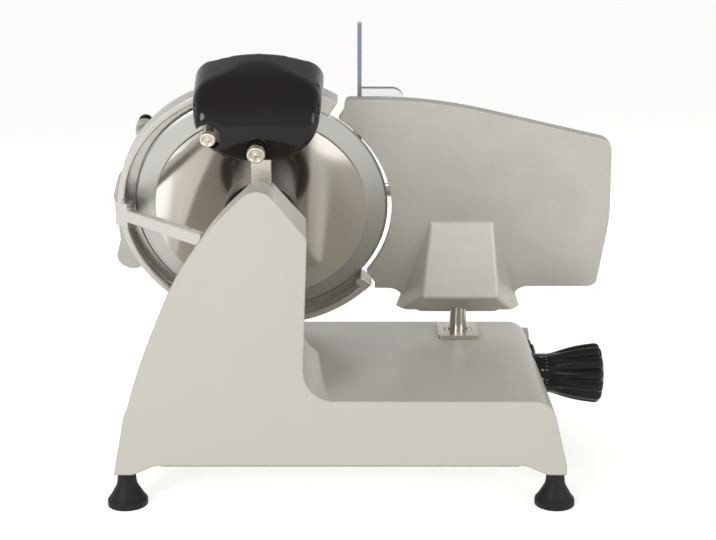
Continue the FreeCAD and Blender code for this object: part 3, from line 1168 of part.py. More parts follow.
arm_seat, handle_arm = [primitive("Cylinder", label, CARRIAGE * along(ALONG_X, tray_right, 130, handle_height),
                                  Radius=6, Height=v.handle_reach + 8) for label in ("arm_seat", "handle_arm")]
keep("handle_arm", handle_arm)
grip_form = turned("handle_form", [
    (0, -26), (9, -26, 4), (14, 0, 20), (12, 40, 30), (15, 66, 8), (8, 74, 4), (0, 74)])
grip_form.Placement = CARRIAGE * at(tray_right + v.handle_reach + 14.5, 130, handle_height + 8)
keep("carriage_handle", taken_from("carriage_handle", grip_form, arm_seat))
arm_x = v.arm_x
slider_half = v.slider_length / 2
slider = new_body("slider_form")
sketch = new_sketch(slider, "YZ_Plane", arm_x - slider_half)
slider_reach = v.rail_dia / 2 + 5
draw_outline(sketch, [(v.rail_y + side_y * slider_reach, v.rail_z + side_z * slider_reach, 4)
                      for side_y, side_z in ((-1, -1), (1, -1), (1, 1), (-1, 1))])
pad(slider, sketch, v.slider_length)
bush_wall = 3
bush_length = 20
slider_holes = [primitive("Cylinder", "rod_room", along(ALONG_X, arm_x - 100, v.rail_y, v.rail_z),
                          Radius=v.rail_dia / 2 + 0.5, Height=200)]
for side in (-1, 1):
    start = arm_x - slider_half - 1 if side < 0 else arm_x + slider_half - bush_length
    slider_holes.append(primitive("Cylinder", "bush_seat", along(ALONG_X, start, v.rail_y, v.rail_z),
                                  Radius=v.rail_dia / 2 + bush_wall + v.fit_gap, Height=bush_length + 1))
slider_holes.append(primitive("Cylinder", "axle_seat", along(ALONG_Y, arm_x, v.rail_y - slider_reach - 1, v.shelf_top + v.roller_rise),
                              Radius=v.roller_axle_dia / 2 + v.fit_gap, Height=8))
bush = turned("slider_bush_form", ring_profile(v.rail_dia / 2 + v.running_gap, v.rail_dia / 2 + bush_wall, 0, bush_length))
copies("slider_bushes", bush, [along(ALONG_X, arm_x - slider_half, v.rail_y, v.rail_z),
                               along(ALONG_X, arm_x + slider_half - bush_length, v.rail_y, v.rail_z)])
arm = new_body("arm_form")
sketch = new_sketch(arm, "XZ_Plane", -(v.rail_y - slider_reach))
arm_foot = v.rail_z + slider_reach
draw_outline(sketch, [(arm_x - slider_half, arm_foot), (arm_x + slider_half, arm_foot), (arm_x + slider_half, arm_foot + 12, 20),
                      (arm_x + 16, arm_foot + 40, 40), (arm_x + 22, v.blade_z - 32), (arm_x - 22, v.blade_z - 32),
                      (arm_x - 16, arm_foot + 40, 40), (arm_x - slider_half, arm_foot + 12, 20)])
pad(arm, sketch, slider_reach * 2, reverse=True)
above_floor = primitive("Box", "arm_room", CARRIAGE * at(-200, 0, floor_low), Length=400, Width=300, Height=200)
keep("carriage_arm", taken_from("carriage_arm", taken_from("arm_solid", joined("arm_and_slider", [arm, slider]), above_floor),
                                joined("slider_openings", slider_holes)))
keep("carriage_rod", primitive("Cylinder", "carriage_rod", along(ALONG_X, -v.ear_x, v.rail_y, v.rail_z),
                               Radius=v.rail_dia / 2, Height=v.ear_x * 2))
roller_z = v.shelf_top + v.roller_rise
roller_y = v.rail_y - slider_reach - 10
keep("roller_axle", primitive("Cylinder", "roller_axle", along(ALONG_Y, arm_x, roller_y, roller_z),
                              Radius=v.roller_axle_dia / 2, Height=16.5))
keep("track_roller", turned("roller_form", ring_profile(v.roller_axle_dia / 2 + v.running_gap, v.roller_rise - 0.3, 0, 8)),
     along(ALONG_Y, arm_x, roller_y, roller_z))

# Pusher that slides and swings on its rod above the tray
keep("pusher_rod", primitive("Cylinder", "pusher_rod", along_carriage(pusher_x, v.tray_gap + 3, pusher_height),
                             Radius=v.pusher_rod_dia / 2, Height=v.pusher_rod_end - v.tray_gap - 3))
keep("rod_cap", turned("rod_cap_form", [(0, 0), (v.pusher_rod_dia / 2 + 2, 0), (v.pusher_rod_dia / 2 + 2, 6, 3), (0, 6)]),
     along_carriage(pusher_x, v.pusher_rod_end, pusher_height))
collar_start = v.pusher_start
keep("pusher_collar", turned("pusher_collar_form", ring_profile(v.pusher_rod_dia / 2 + v.running_gap,
                                                               v.pusher_rod_dia / 2 + 4, 0, v.pusher_collar)),
     along_carriage(pusher_x, collar_start, pusher_height))
pusher_turn = v.pusher_rod_dia / 2 + 4 + v.running_gap
sleeve = primitive("Cylinder", "pusher_sleeve", along_carriage(pusher_x, collar_start + 6, pusher_height),
                   Radius=pusher_turn + 4, Height=v.pusher_collar - 12)
pusher_bar = primitive("Box", "pusher_bar", CARRIAGE * at(pusher_x, collar_start + 12, pusher_height + 2),
                       Length=v.pusher_width - 40, Width=v.pusher_collar - 24, Height=8)
plate_left = pusher_x + 28
pusher_face = new_body("pusher_face")
sketch = new_sketch(pusher_face, "XZ_Plane", -(collar_start + 8))
draw_outline(sketch, [(plate_left, -v.tray_drop + 4, 6), (pusher_x + v.pusher_width, -v.tray_drop + 4, 10),
                      (pusher_x + v.pusher_width, pusher_height + 10, 22), (plate_left, pusher_height + 10, 6)])
pad(pusher_face, sketch, 5, reverse=True)
pusher_face.Placement = CARRIAGE
spikes = []
for column in range(6):
    for row in range(3):
        x = plate_left + 14 + column * (v.pusher_width - 56) / 5
        height = -v.tray_drop + 18 + row * 18
        spikes.append(primitive("Cone", "pusher_spike", CARRIAGE * at(x, collar_start + 8.5, height, (1, 0, 0), 90),
                                Radius1=2, Radius2=0.3, Height=5))
sleeve_bore = primitive("Cylinder", "sleeve_bore", along_carriage(pusher_x, collar_start, pusher_height),
                        Radius=pusher_turn, Height=v.pusher_collar)
keep("product_pusher", taken_from("product_pusher", joined("pusher_solid", [sleeve, pusher_bar, pusher_face] + spikes), sleeve_bore))
keep("pusher_knob", turned("pusher_knob_form", [(0, 0), (8, 0), (8, 6, 3), (15, 18, 14), (13, 34, 10), (0, 36)]),
     CARRIAGE * at(pusher_x + v.pusher_width - 52, collar_start + v.pusher_collar / 2, pusher_height + 10))

# Switch on the right side and cable gland at the back
half_high = v.switch_height / 2
half_wide = v.switch_width / 2
housing_holes = []
button_reach = v.switch_height / 4 - 0.5
switch_outline = box_corners(-half_high, half_high, -half_wide, half_wide, 3)
switch_rim = plate("switch_rim", switch_outline, 2.5)
switch_rim.Placement = switch_place
switch_box = primitive("Box", "switch_box", switch_place * at(-half_high + 2.2, -half_wide + 2.2, -24),
                       Length=v.switch_height - 4.4, Width=v.switch_width - 4.4, Height=24)
for side in (-1, 1):
    housing_holes.append(primitive("Cylinder", "button_room", switch_place * at(side * button_reach, 0, -18),
                                   Radius=v.button_dia / 2 + 0.3, Height=30))
keep("switch_housing", taken_from("switch_housing", joined("switch_solid", [switch_rim, switch_box]),
                                  joined("button_rooms", housing_holes)))
for name, side in (("start_button", -1), ("stop_button", 1)):
    keep(name, turned(name + "_form", [(0, -12), (v.button_dia / 2, -12), (v.button_dia / 2, 5, 1.5), (0, 5)]),
         switch_place * at(side * button_reach, 0, 0))
gland = v.gland_dia / 2
keep("cable_gland", turned("cable_gland_form", [
    (v.gland_bore / 2, -v.wall - 5), (gland, -v.wall - 5), (gland, -v.wall), (gland - 3, -v.wall), (gland - 3, 0),
    (gland, 0), (gland, 4), (gland - 1.5, 16, 2), (v.gland_bore / 2, 16)]), along(ALONG_Y, v.gland_x, v.base_depth, v.gland_z))

# The whole slicer is moved so that the origin lies on the table under the middle of its box
doc.recompute()
whole = FreeCAD.BoundBox()
for obj in pieces.values():
    whole.add(obj.Shape.optimalBoundingBox(False))
shift = Placement(Vector(-whole.Center.x, -whole.Center.y, -whole.ZMin), Rotation())
for obj in pieces.values():
    obj.Placement = shift * obj.Placement
doc.recompute()
for obj in doc.Objects:
    if "Invalid" in obj.State or "Error" in obj.State:
        raise RuntimeError("%s did not build" % obj.Label)
for node, obj in pieces.items():
    if obj.Shape.isNull() or not obj.Shape.isValid():
        raise RuntimeError("%s has no sound shape" % node)
os.makedirs("parts", exist_ok=True)
for node, obj in pieces.items():
    obj.Shape.exportStep("parts/%s.step" % node)
print("%d sub-parts, box %.1f x %.1f x %.1f mm, moved by %.2f, %.2f, %.2f" % (
    len(pieces), whole.XLength, whole.YLength, whole.ZLength, shift.Base.x, shift.Base.y, shift.Base.z))
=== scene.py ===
import math

import bmesh
import bpy
from mathutils import Matrix, Vector


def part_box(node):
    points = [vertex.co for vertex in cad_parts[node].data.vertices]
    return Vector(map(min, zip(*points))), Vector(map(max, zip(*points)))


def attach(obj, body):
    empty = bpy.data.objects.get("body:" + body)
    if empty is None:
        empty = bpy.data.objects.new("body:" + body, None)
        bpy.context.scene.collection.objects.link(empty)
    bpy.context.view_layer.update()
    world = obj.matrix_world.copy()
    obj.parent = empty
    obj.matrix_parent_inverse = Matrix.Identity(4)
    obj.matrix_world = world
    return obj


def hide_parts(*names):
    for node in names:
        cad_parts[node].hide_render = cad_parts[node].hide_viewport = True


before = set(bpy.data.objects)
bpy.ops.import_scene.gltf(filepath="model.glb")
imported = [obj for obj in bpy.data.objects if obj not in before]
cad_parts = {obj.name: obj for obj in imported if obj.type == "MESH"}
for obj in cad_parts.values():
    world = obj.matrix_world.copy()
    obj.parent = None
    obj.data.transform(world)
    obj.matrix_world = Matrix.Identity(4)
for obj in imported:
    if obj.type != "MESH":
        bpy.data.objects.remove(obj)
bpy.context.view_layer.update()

# The blade's own frame: X right, Y up in the blade's plane, Z towards the tower
blade = {"centre": (-0.09665, -0.01717, 0.247), "lean": math.radians(110.7), "polishEnd": 0.1048, "bandStart": 0.1056,
         "grindLine": 0.0008, "polishRough": 0.07, "bandRough": 0.34}
bladePlace = Matrix.Translation(blade["centre"]) @ Matrix.Rotation(blade["lean"], 4, "X")
bladeAxis = bladePlace.to_3x3() @ Vector((0, 0, 1))
print("frame loaded:", len(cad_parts), "nodes")

# Most values of a noise texture lie between these two
noiseLow = 0.3
noiseHigh = 0.7


# Materials; the sizes of their patterns are in metres
def toLinear(code):
    channels = [int(code[i:i + 2], 16) / 255 for i in (0, 2, 4)]
    return [c / 12.92 if c <= 0.04045 else ((c + 0.055) / 1.055) ** 2.4 for c in channels] + [1.0]


def shaded(code, strength):
    return [c * strength for c in toLinear(code)[:3]] + [1.0]


def addNode(tree, kind, settings=None, inputs=None):
    # A kind without "Node" in it is the short name of a shader node
    node = tree.nodes.new(kind if "Node" in kind else "ShaderNode" + kind)
    for key, value in (settings or {}).items():
        setattr(node, key, value)
    for key, value in (inputs or {}).items():
        if isinstance(value, bpy.types.NodeSocket):
            tree.links.new(value, node.inputs[key])
        else:
            node.inputs[key].default_value = value
    return node


def startMaterial(name, sockets):
    material = bpy.data.materials.new(name)
    material.use_nodes = True
    tree = material.node_tree
    tree.nodes.clear()
    shader = addNode(tree, "BsdfPrincipled", inputs=sockets)
    addNode(tree, "OutputMaterial", inputs={"Surface": shader.outputs[0]})
    coords = addNode(tree, "TexCoord").outputs["Object"]
    return tree, shader, coords


def finishSurface(tree, shader, coords, grain, depth, edge):
    edgeNormal = addNode(tree, "Bevel", {"samples": 6}, {"Radius": edge}).outputs[0]
    noise = addNode(tree, "TexNoise", inputs={"Vector": coords, "Scale": 1 / grain, "Detail": 2.0})
    bump = addNode(tree, "Bump", inputs={"Height": noise.outputs["Fac"], "Distance": depth, "Strength": 1.0,
                                         "Normal": edgeNormal})
    tree.links.new(bump.outputs[0], shader.inputs["Normal"])


def shadeByNoise(tree, shader, coords, size, low, high):
    noise = addNode(tree, "TexNoise", inputs={"Vector": coords, "Scale": 1 / size, "Detail": 4.0})
    ramp = addNode(tree, "ValToRGB", inputs={"Fac": noise.outputs["Fac"]})
    start, end = ramp.color_ramp.elements
    start.position = noiseLow
    end.position = noiseHigh
    start.color = low
    end.color = high
    tree.links.new(ramp.outputs[0], shader.inputs["Base Color"])


def shadeRange(tree, shader, coords, size, low, high):
    noise = addNode(tree, "TexNoise", inputs={"Vector": coords, "Scale": 1 / size, "Detail": 3.0})
    spread = addNode(tree, "MapRange", inputs={"Value": noise.outputs["Fac"], "From Min": noiseLow,
                                               "From Max": noiseHigh, "To Min": low, "To Max": high})
    tree.links.new(spread.outputs[0], shader.inputs["Roughness"])


def makeEnamel():
    # Baked off-white enamel on cast aluminium: even satin, faint orange peel, softly rounded casting edges
    tree, shader, coords = startMaterial("bakedEnamel", {"IOR": 1.5, "Coat Weight": 0.25, "Coat Roughness": 0.22})
    shadeByNoise(tree, shader, coords, 0.09, toLinear("CAC7BD"), toLinear("CCC9BF"))
    shadeRange(tree, shader, coords, 0.03, 0.36, 0.44)
    finishSurface(tree, shader, coords, 0.0026, 0.00004, 0.0026)


def makeCast(name, low, high, metallic, rough, edge, depth):
    # Aluminium casting: grey and soft when blasted and anodised, bright at its rolled edges when polished.
    # The grain is drawn at 0.9 mm, coarser than the real one, so that it shows
    tree, shader, coords = startMaterial(name, {"Metallic": metallic})
    shadeByNoise(tree, shader, coords, 0.04, toLinear(low), toLinear(high))
    shadeRange(tree, shader, coords, 0.006, rough, rough + 0.1)
    finishSurface(tree, shader, coords, 0.0009, depth, edge)


def makeBrushed(name, tone, streak, rough):
    # Brushed or rolled sheet steel: grey metal with fine streaks along X, drawn coarser than real ones to show
    tree, shader, coords = startMaterial(name, {"Metallic": 1.0, "Anisotropic": 0.5})
    mapping = addNode(tree, "Mapping", inputs={"Vector": coords, "Scale": (0.04, 1.0, 1.0)})
    noise = addNode(tree, "TexNoise", inputs={"Vector": mapping.outputs[0], "Scale": 1 / streak, "Detail": 3.0})
    ramp = addNode(tree, "ValToRGB", inputs={"Fac": noise.outputs["Fac"]})
    ramp.color_ramp.elements[0].color = shaded(tone, 0.86)
    ramp.color_ramp.elements[1].color = toLinear(tone)
    tree.links.new(ramp.outputs[0], shader.inputs["Base Color"])
    spread = addNode(tree, "MapRange", inputs={"Value": noise.outputs["Fac"], "To Min": rough - 0.06,
                                               "To Max": rough + 0.08})
    tree.links.new(spread.outputs[0], shader.inputs["Roughness"])
    edgeNormal = addNode(tree, "Bevel", {"samples": 4}, {"Radius": 0.0006}).outputs[0]
    bump = addNode(tree, "Bump", inputs={"Height": noise.outputs["Fac"], "Distance": 0.00002, "Strength": 0.6,
                                         "Normal": edgeNormal})
    tree.links.new(bump.outputs[0], shader.inputs["Normal"])


def makeBladeSteel():
    # Hardened stainless blade: mirror polish inside, a ground satin band at the rim, grinding lines that run round.
    # The lines are drawn ten times as coarse as real ones so that they show
    tree, shader, coords = startMaterial("groundBladeSteel", {"Metallic": 1.0, "Anisotropic": 0.55})
    turned = addNode(tree, "Mapping", {"vector_type": "TEXTURE"},
                     {"Vector": coords, "Location": blade["centre"], "Rotation": (blade["lean"], 0, 0)})
    flat = addNode(tree, "VectorMath", {"operation": "MULTIPLY"}, {0: turned.outputs[0], 1: (1, 1, 0)})
    reach = addNode(tree, "VectorMath", {"operation": "LENGTH"}, {0: flat.outputs[0]}).outputs["Value"]
    lines = addNode(tree, "TexNoise", {"noise_dimensions": "1D"},
                    {"W": reach, "Scale": 1 / blade["grindLine"], "Detail": 3.0}).outputs["Fac"]
    onBand = addNode(tree, "MapRange", {"interpolation_type": "SMOOTHSTEP"},
                     {"Value": reach, "From Min": blade["polishEnd"], "From Max": blade["bandStart"]}).outputs[0]
    tone = addNode(tree, "Mix", {"data_type": "RGBA"}, {0: onBand, 6: toLinear("F0EDE6"), 7: toLinear("BDBDB9")})
    tree.links.new(tone.outputs[2], shader.inputs["Base Color"])
    gloss = addNode(tree, "MapRange", inputs={"Value": onBand, "To Min": blade["polishRough"],
                                              "To Max": blade["bandRough"]})
    ripple = addNode(tree, "Math", {"operation": "MULTIPLY_ADD"}, {0: lines, 1: 0.08, 2: gloss.outputs[0]})
    tree.links.new(ripple.outputs[0], shader.inputs["Roughness"])
    bump = addNode(tree, "Bump", inputs={"Height": lines, "Distance": 0.000012, "Strength": 0.5})
    tree.links.new(bump.outputs[0], shader.inputs["Normal"])
    offset = addNode(tree, "VectorMath", {"operation": "SUBTRACT"}, {0: coords, 1: blade["centre"]})
    along = addNode(tree, "VectorMath", {"operation": "CROSS_PRODUCT"}, {0: tuple(bladeAxis), 1: offset.outputs[0]})
    way = addNode(tree, "VectorMath", {"operation": "NORMALIZE"}, {0: along.outputs[0]})
    tree.links.new(way.outputs[0], shader.inputs["Tangent"])


def makePlastic(name, dark, light, rough, edge, grain, depth, level=0.5):
    # Moulded plastic, rubber, stone or paint: an even tone with a fine grain and a soft edge
    tree, shader, coords = startMaterial(name, {"IOR": 1.5, "Specular IOR Level": level})
    shadeByNoise(tree, shader, coords, 0.02, toLinear(dark), toLinear(light))
    shadeRange(tree, shader, coords, 0.01, rough, rough + 0.06)
    finishSurface(tree, shader, coords, grain, depth, edge)


def makeMetal(name, tone, rough):
    # Turned, ground or plated metal: smooth, with a faint change of tone
    tree, shader, coords = startMaterial(name, {"Metallic": 1.0})
    shadeByNoise(tree, shader, coords, 0.01, shaded(tone, 0.88), toLinear(tone))
    shadeRange(tree, shader, coords, 0.004, rough, rough + 0.08)
    finishSurface(tree, shader, coords, 0.002, 0.00001, 0.0004)


def makeAcrylic():
    # Clear acrylic sheet: faces nearly unseen, sawn and flame-polished edges that gather light to grey blue
    clearTone = toLinear("F4F8FA")
    edgeTone = toLinear("6F767D")
    tree, shader, coords = startMaterial("clearAcrylic", {"IOR": 1.49, "Base Color": clearTone,
                                                          "Specular IOR Level": 0.3})
    sheetThick = 0.004
    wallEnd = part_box("hand_guard")[0][0] + sheetThick + 0.0001
    spot = addNode(tree, "SeparateXYZ", inputs={0: coords})
    facing = addNode(tree, "NewGeometry").outputs["True Normal"]
    across = addNode(tree, "VectorMath", {"operation": "DOT_PRODUCT"}, {0: facing, 1: (1, 0, 0)})
    deep = addNode(tree, "VectorMath", {"operation": "DOT_PRODUCT"}, {0: facing, 1: tuple(bladeAxis)})
    onLeg = addNode(tree, "Math", {"operation": "GREATER_THAN"}, {0: spot.outputs["X"], 1: wallEnd})
    squareOn = addNode(tree, "Mix", {"data_type": "FLOAT"},
                       {0: onLeg.outputs[0], 2: across.outputs["Value"], 3: deep.outputs["Value"]})
    flat = addNode(tree, "Math", {"operation": "ABSOLUTE"}, {0: squareOn.outputs[0]})
    clear = addNode(tree, "MapRange", inputs={"Value": flat.outputs[0], "From Min": 0.85, "From Max": 0.97,
                                              "To Min": 0.25, "To Max": 0.985}).outputs[0]
    tree.links.new(clear, shader.inputs["Transmission Weight"])
    tone = addNode(tree, "Mix", {"data_type": "RGBA"}, {0: clear, 6: edgeTone, 7: clearTone})
    tree.links.new(tone.outputs[2], shader.inputs["Base Color"])
    haze = addNode(tree, "TexNoise", inputs={"Vector": coords, "Scale": 1 / 0.03, "Detail": 3.0})
    spread = addNode(tree, "MapRange", inputs={"Value": haze.outputs["Fac"], "To Min": 0.01, "To Max": 0.05})
    tree.links.new(spread.outputs[0], shader.inputs["Roughness"])


makeEnamel()
makeCast("satinAluminium", "C0BEB7", "C8C6BF", 0.55, 0.42, 0.0012, 0.00003)
makeCast("polishedAluminium", "CFCDC7", "D3D1CC", 0.75, 0.26, 0.0024, 0.000003)
makeBrushed("brushedStainless", "CFCAC0", 0.0007, 0.28)
makeBrushed("milledSheetSteel", "B8B8B8", 0.0012, 0.4)
makeBladeSteel()
makeMetal("hardChrome", "B4B1A8", 0.12)
makeMetal("zincPlatedSteel", "C4C2BC", 0.24)
makeMetal("creamAnodisedAluminium", "E4DFD0", 0.32)
makeMetal("turnedBrass", "C9A668", 0.25)
makeMetal("machinedCastIron", "5C5A57", 0.38)
makePlastic("greyMotorEnamel", "3A3D40", "44474A", 0.45, 0.001, 0.001, 0.00004)
makePlastic("glossBlackAbs", "120D09", "16100B", 0.04, 0.002, 0.01, 0.00001, 0.33)
makePlastic("mouldedPhenolic", "15110E", "1A1613", 0.26, 0.0008, 0.0012, 0.00003, 0.22)
makePlastic("blackRubber", "141210", "191715", 0.55, 0.001, 0.0009, 0.00006, 0.3)
makePlastic("bondedAbrasive", "7C746C", "8C847A", 0.85, 0.0004, 0.0005, 0.0002)
makePlastic("greyNylon", "8C8C8C", "949494", 0.45, 0.0008, 0.002, 0.00002)
makePlastic("whiteNylon", "D8D8D2", "DEDED8", 0.4, 0.0008, 0.002, 0.00002)
makeAcrylic()
makePlastic("whiteDialPaint", "C9C7C0", "D6D4CD", 0.5, 0.0002, 0.0006, 0.00001)

nodeMaterials = {
    "bakedEnamel": ["base_casting"],
    "polishedAluminium": ["ring_guard"],
    "satinAluminium": ["gauge_plate", "product_tray", "carriage_arm", "product_pusher", "sharpener_carrier",
                       "blade_pulley", "motor_pulley"],
    "brushedStainless": ["blade_cover", "slot_cover", "sharpener_neck", "handle_arm"],
    "milledSheetSteel": ["bottom_plate", "motor_plate"],
    "groundBladeSteel": ["blade"],
    "hardChrome": ["gauge_post", "gauge_rods", "carriage_rod", "pusher_rod"],
    "zincPlatedSteel": ["foot_screws", "plate_screws", "frame_bolts", "strut_bolt", "cover_screws",
                        "shaft_bearings", "blade_shaft", "blade_screws", "pulley_nut", "motor_shaft",
                        "slot_cover_screws", "follower_pin", "knob_shaft", "hand_guard_screws", "roller_axle",
                        "pusher_collar"],
    "creamAnodisedAluminium": ["sharpening_button", "deburring_button"],
    "turnedBrass": ["knob_bush", "cam_disc", "slider_bushes"],
    "machinedCastIron": ["bearing_housing", "slide_block", "blade_flange"],
    "greyMotorEnamel": ["drive_motor"],
    "glossBlackAbs": ["sharpener_hood"],
    "mouldedPhenolic": ["thickness_knob", "carriage_handle", "rod_cap", "pusher_knob", "switch_housing",
                        "cable_gland"],
    "blackRubber": ["rubber_feet", "drive_belt"],
    "bondedAbrasive": ["sharpening_stone", "deburring_stone"],
    "greyNylon": ["start_button", "stop_button"],
    "whiteNylon": ["track_roller"],
    "clearAcrylic": ["hand_guard"],
}
for materialName, nodeNames in nodeMaterials.items():
    for nodeName in nodeNames:
        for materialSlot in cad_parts[nodeName].material_slots:
            materialSlot.material = bpy.data.materials[materialName]
print("materials on", sum(len(names) for names in nodeMaterials.values()), "nodes")


def finishPiece(mesh, name, materialName, body, place=None, sharp=38, stands=None):
    # Turns a bmesh into a piece that rides on a body, with its place in its mesh
    if place:
        bmesh.ops.transform(mesh, matrix=place, verts=mesh.verts)
    bmesh.ops.recalc_face_normals(mesh, faces=mesh.faces)
    data = bpy.data.meshes.new(name)
    mesh.to_mesh(data)
    mesh.free()
    data.shade_smooth()
    data.set_sharp_from_angle(angle=math.radians(sharp))
    data.materials.append(bpy.data.materials[materialName])
    piece = bpy.data.objects.new(name, data)
    bpy.context.collection.objects.link(piece)
    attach(piece, body)
    if stands:
        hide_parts(stands)


def evaluatedMesh(holder):
    # The mesh that an object gives with its modifiers; the object is removed
    bpy.context.view_layer.update()
    made = bpy.data.meshes.new_from_object(holder.evaluated_get(bpy.context.evaluated_depsgraph_get()))
    bpy.data.objects.remove(holder)
    mesh = bmesh.new()
    mesh.from_mesh(made)
    return mesh


def newHolder(name, data):
    holder = bpy.data.objects.new(name, data)
    bpy.context.collection.objects.link(holder)
    return holder


def turnedMesh(profile, steps, reach=None):
    # An outline of (radius, height) in millimetres turned about Z; a radius of 0 makes a pole
    mesh = bmesh.new()
    rings = []
    for radius, level in profile:
        if radius == 0:
            rings.append([mesh.verts.new((0, 0, level / 1000))])
            continue
        ring = []
        for step in range(steps):
            turn = 2 * math.pi * step / steps
            out = (reach(radius, level, turn) if reach else radius) / 1000
            ring.append(mesh.verts.new((out * math.cos(turn), out * math.sin(turn), level / 1000)))
        rings.append(ring)
    for near, far in zip(rings, rings[1:]):
        for step in range(steps):
            after = (step + 1) % steps
            corners = [near[step % len(near)], near[after % len(near)], far[after % len(far)], far[step % len(far)]]
            mesh.faces.new([c for i, c in enumerate(corners) if c not in corners[:i]])
    return mesh


def share(value, start, end):
    return min(max((value - start) / (end - start), 0), 1)


def eased(part):
    return part * part * (3 - 2 * part)


# Thickness knob: collar, twelve soft flutes that deepen towards the rim, domed end
knob = {"start": (0.17335, -0.03717, 0.0795), "steps": 288, "flutes": 12, "fluteDepth": 3.6, "fluteStart": 15,
        "fluteFull": 36, "core": 18, "coreFade": 8, "valleyPower": 1.6,
        "outline": [(0, 28), (6.05, 28), (6.05, 0), (18.6, 0), (19.5, 0.9), (19.5, 8), (19.5, 16), (19.9, 19),
                    (20.8, 22.5), (22.2, 27), (23.8, 32), (25.5, 38), (27.2, 45), (28.6, 53), (29.6, 61),
                    (29.95, 63), (29.8, 65.2), (29, 67.2), (27.4, 68.6), (25, 69.5), (20, 70.6), (12, 71.5),
                    (0, 71.8)]}
knobPlace = Matrix.Translation(knob["start"]) @ Matrix.Rotation(math.radians(90), 4, "Y")


def flutedReach(radius, level, turn):
    if radius < knob["core"] or level < knob["fluteStart"]:
        return radius
    depth = eased(share(level, knob["fluteStart"], knob["fluteFull"])) * knob["fluteDepth"]
    fade = min((radius - knob["core"]) / knob["coreFade"], 1)
    valley = (0.5 + 0.5 * math.cos(knob["flutes"] * turn)) ** knob["valleyPower"]
    return radius - depth * fade * valley


knobMesh = turnedMesh(knob["outline"], knob["steps"], flutedReach)
finishPiece(knobMesh, "flutedKnob", "mouldedPhenolic", "knob", knobPlace, 50, "thickness_knob")
print("fluted knob")


def raisedWords(words, height, stand):
    # Letters as a thin closed solid in millimetres, centred, that faces Z
    curve = bpy.data.curves.new("words", "FONT")
    curve.body = words
    capShare = 0.7
    curve.size = height / capShare
    curve.align_x = "CENTER"
    curve.align_y = "CENTER"
    letters = evaluatedMesh(newHolder("words", curve))
    bmesh.ops.subdivide_edges(letters, edges=letters.edges, cuts=1)
    top = bmesh.ops.extrude_face_region(letters, geom=list(letters.faces))
    for part in top["geom"]:
        if isinstance(part, bmesh.types.BMVert):
            part.co.z = stand
    return letters


# Numbers round the knob's collar, in millimetres of slice thickness
dial = {"radius": 19.5, "stand": 0.06, "sink": 0.02, "height": 3.0, "level": 9.6,
        "numbers": [0, 2, 4, 6, 8, 10, 12, 14], "firstTurn": 243, "turn": 330, "ticks": 28,
        "tickLevel": 14.2, "tickLength": 1.8, "tickWidth": 0.45, "shortShare": 0.55, "longEvery": 4.0}
dialMesh = bmesh.new()
for number in dial["numbers"]:
    digit = raisedWords(str(number), dial["height"], dial["stand"])
    turnTo = math.radians(dial["firstTurn"] - number * dial["turn"] / dial["numbers"][-1])
    for vert in digit.verts:
        turn = turnTo - vert.co.x / dial["radius"]
        out = dial["radius"] - dial["sink"] + vert.co.z
        level = dial["level"] + vert.co.y
        vert.co = (out * math.cos(turn) / 1000, out * math.sin(turn) / 1000, level / 1000)
    wrapped = bpy.data.meshes.new("wrapped")
    digit.to_mesh(wrapped)
    digit.free()
    dialMesh.from_mesh(wrapped)
finishPiece(dialMesh, "dialNumbers", "whiteDialPaint", "knob", knobPlace)
print("dial numbers")


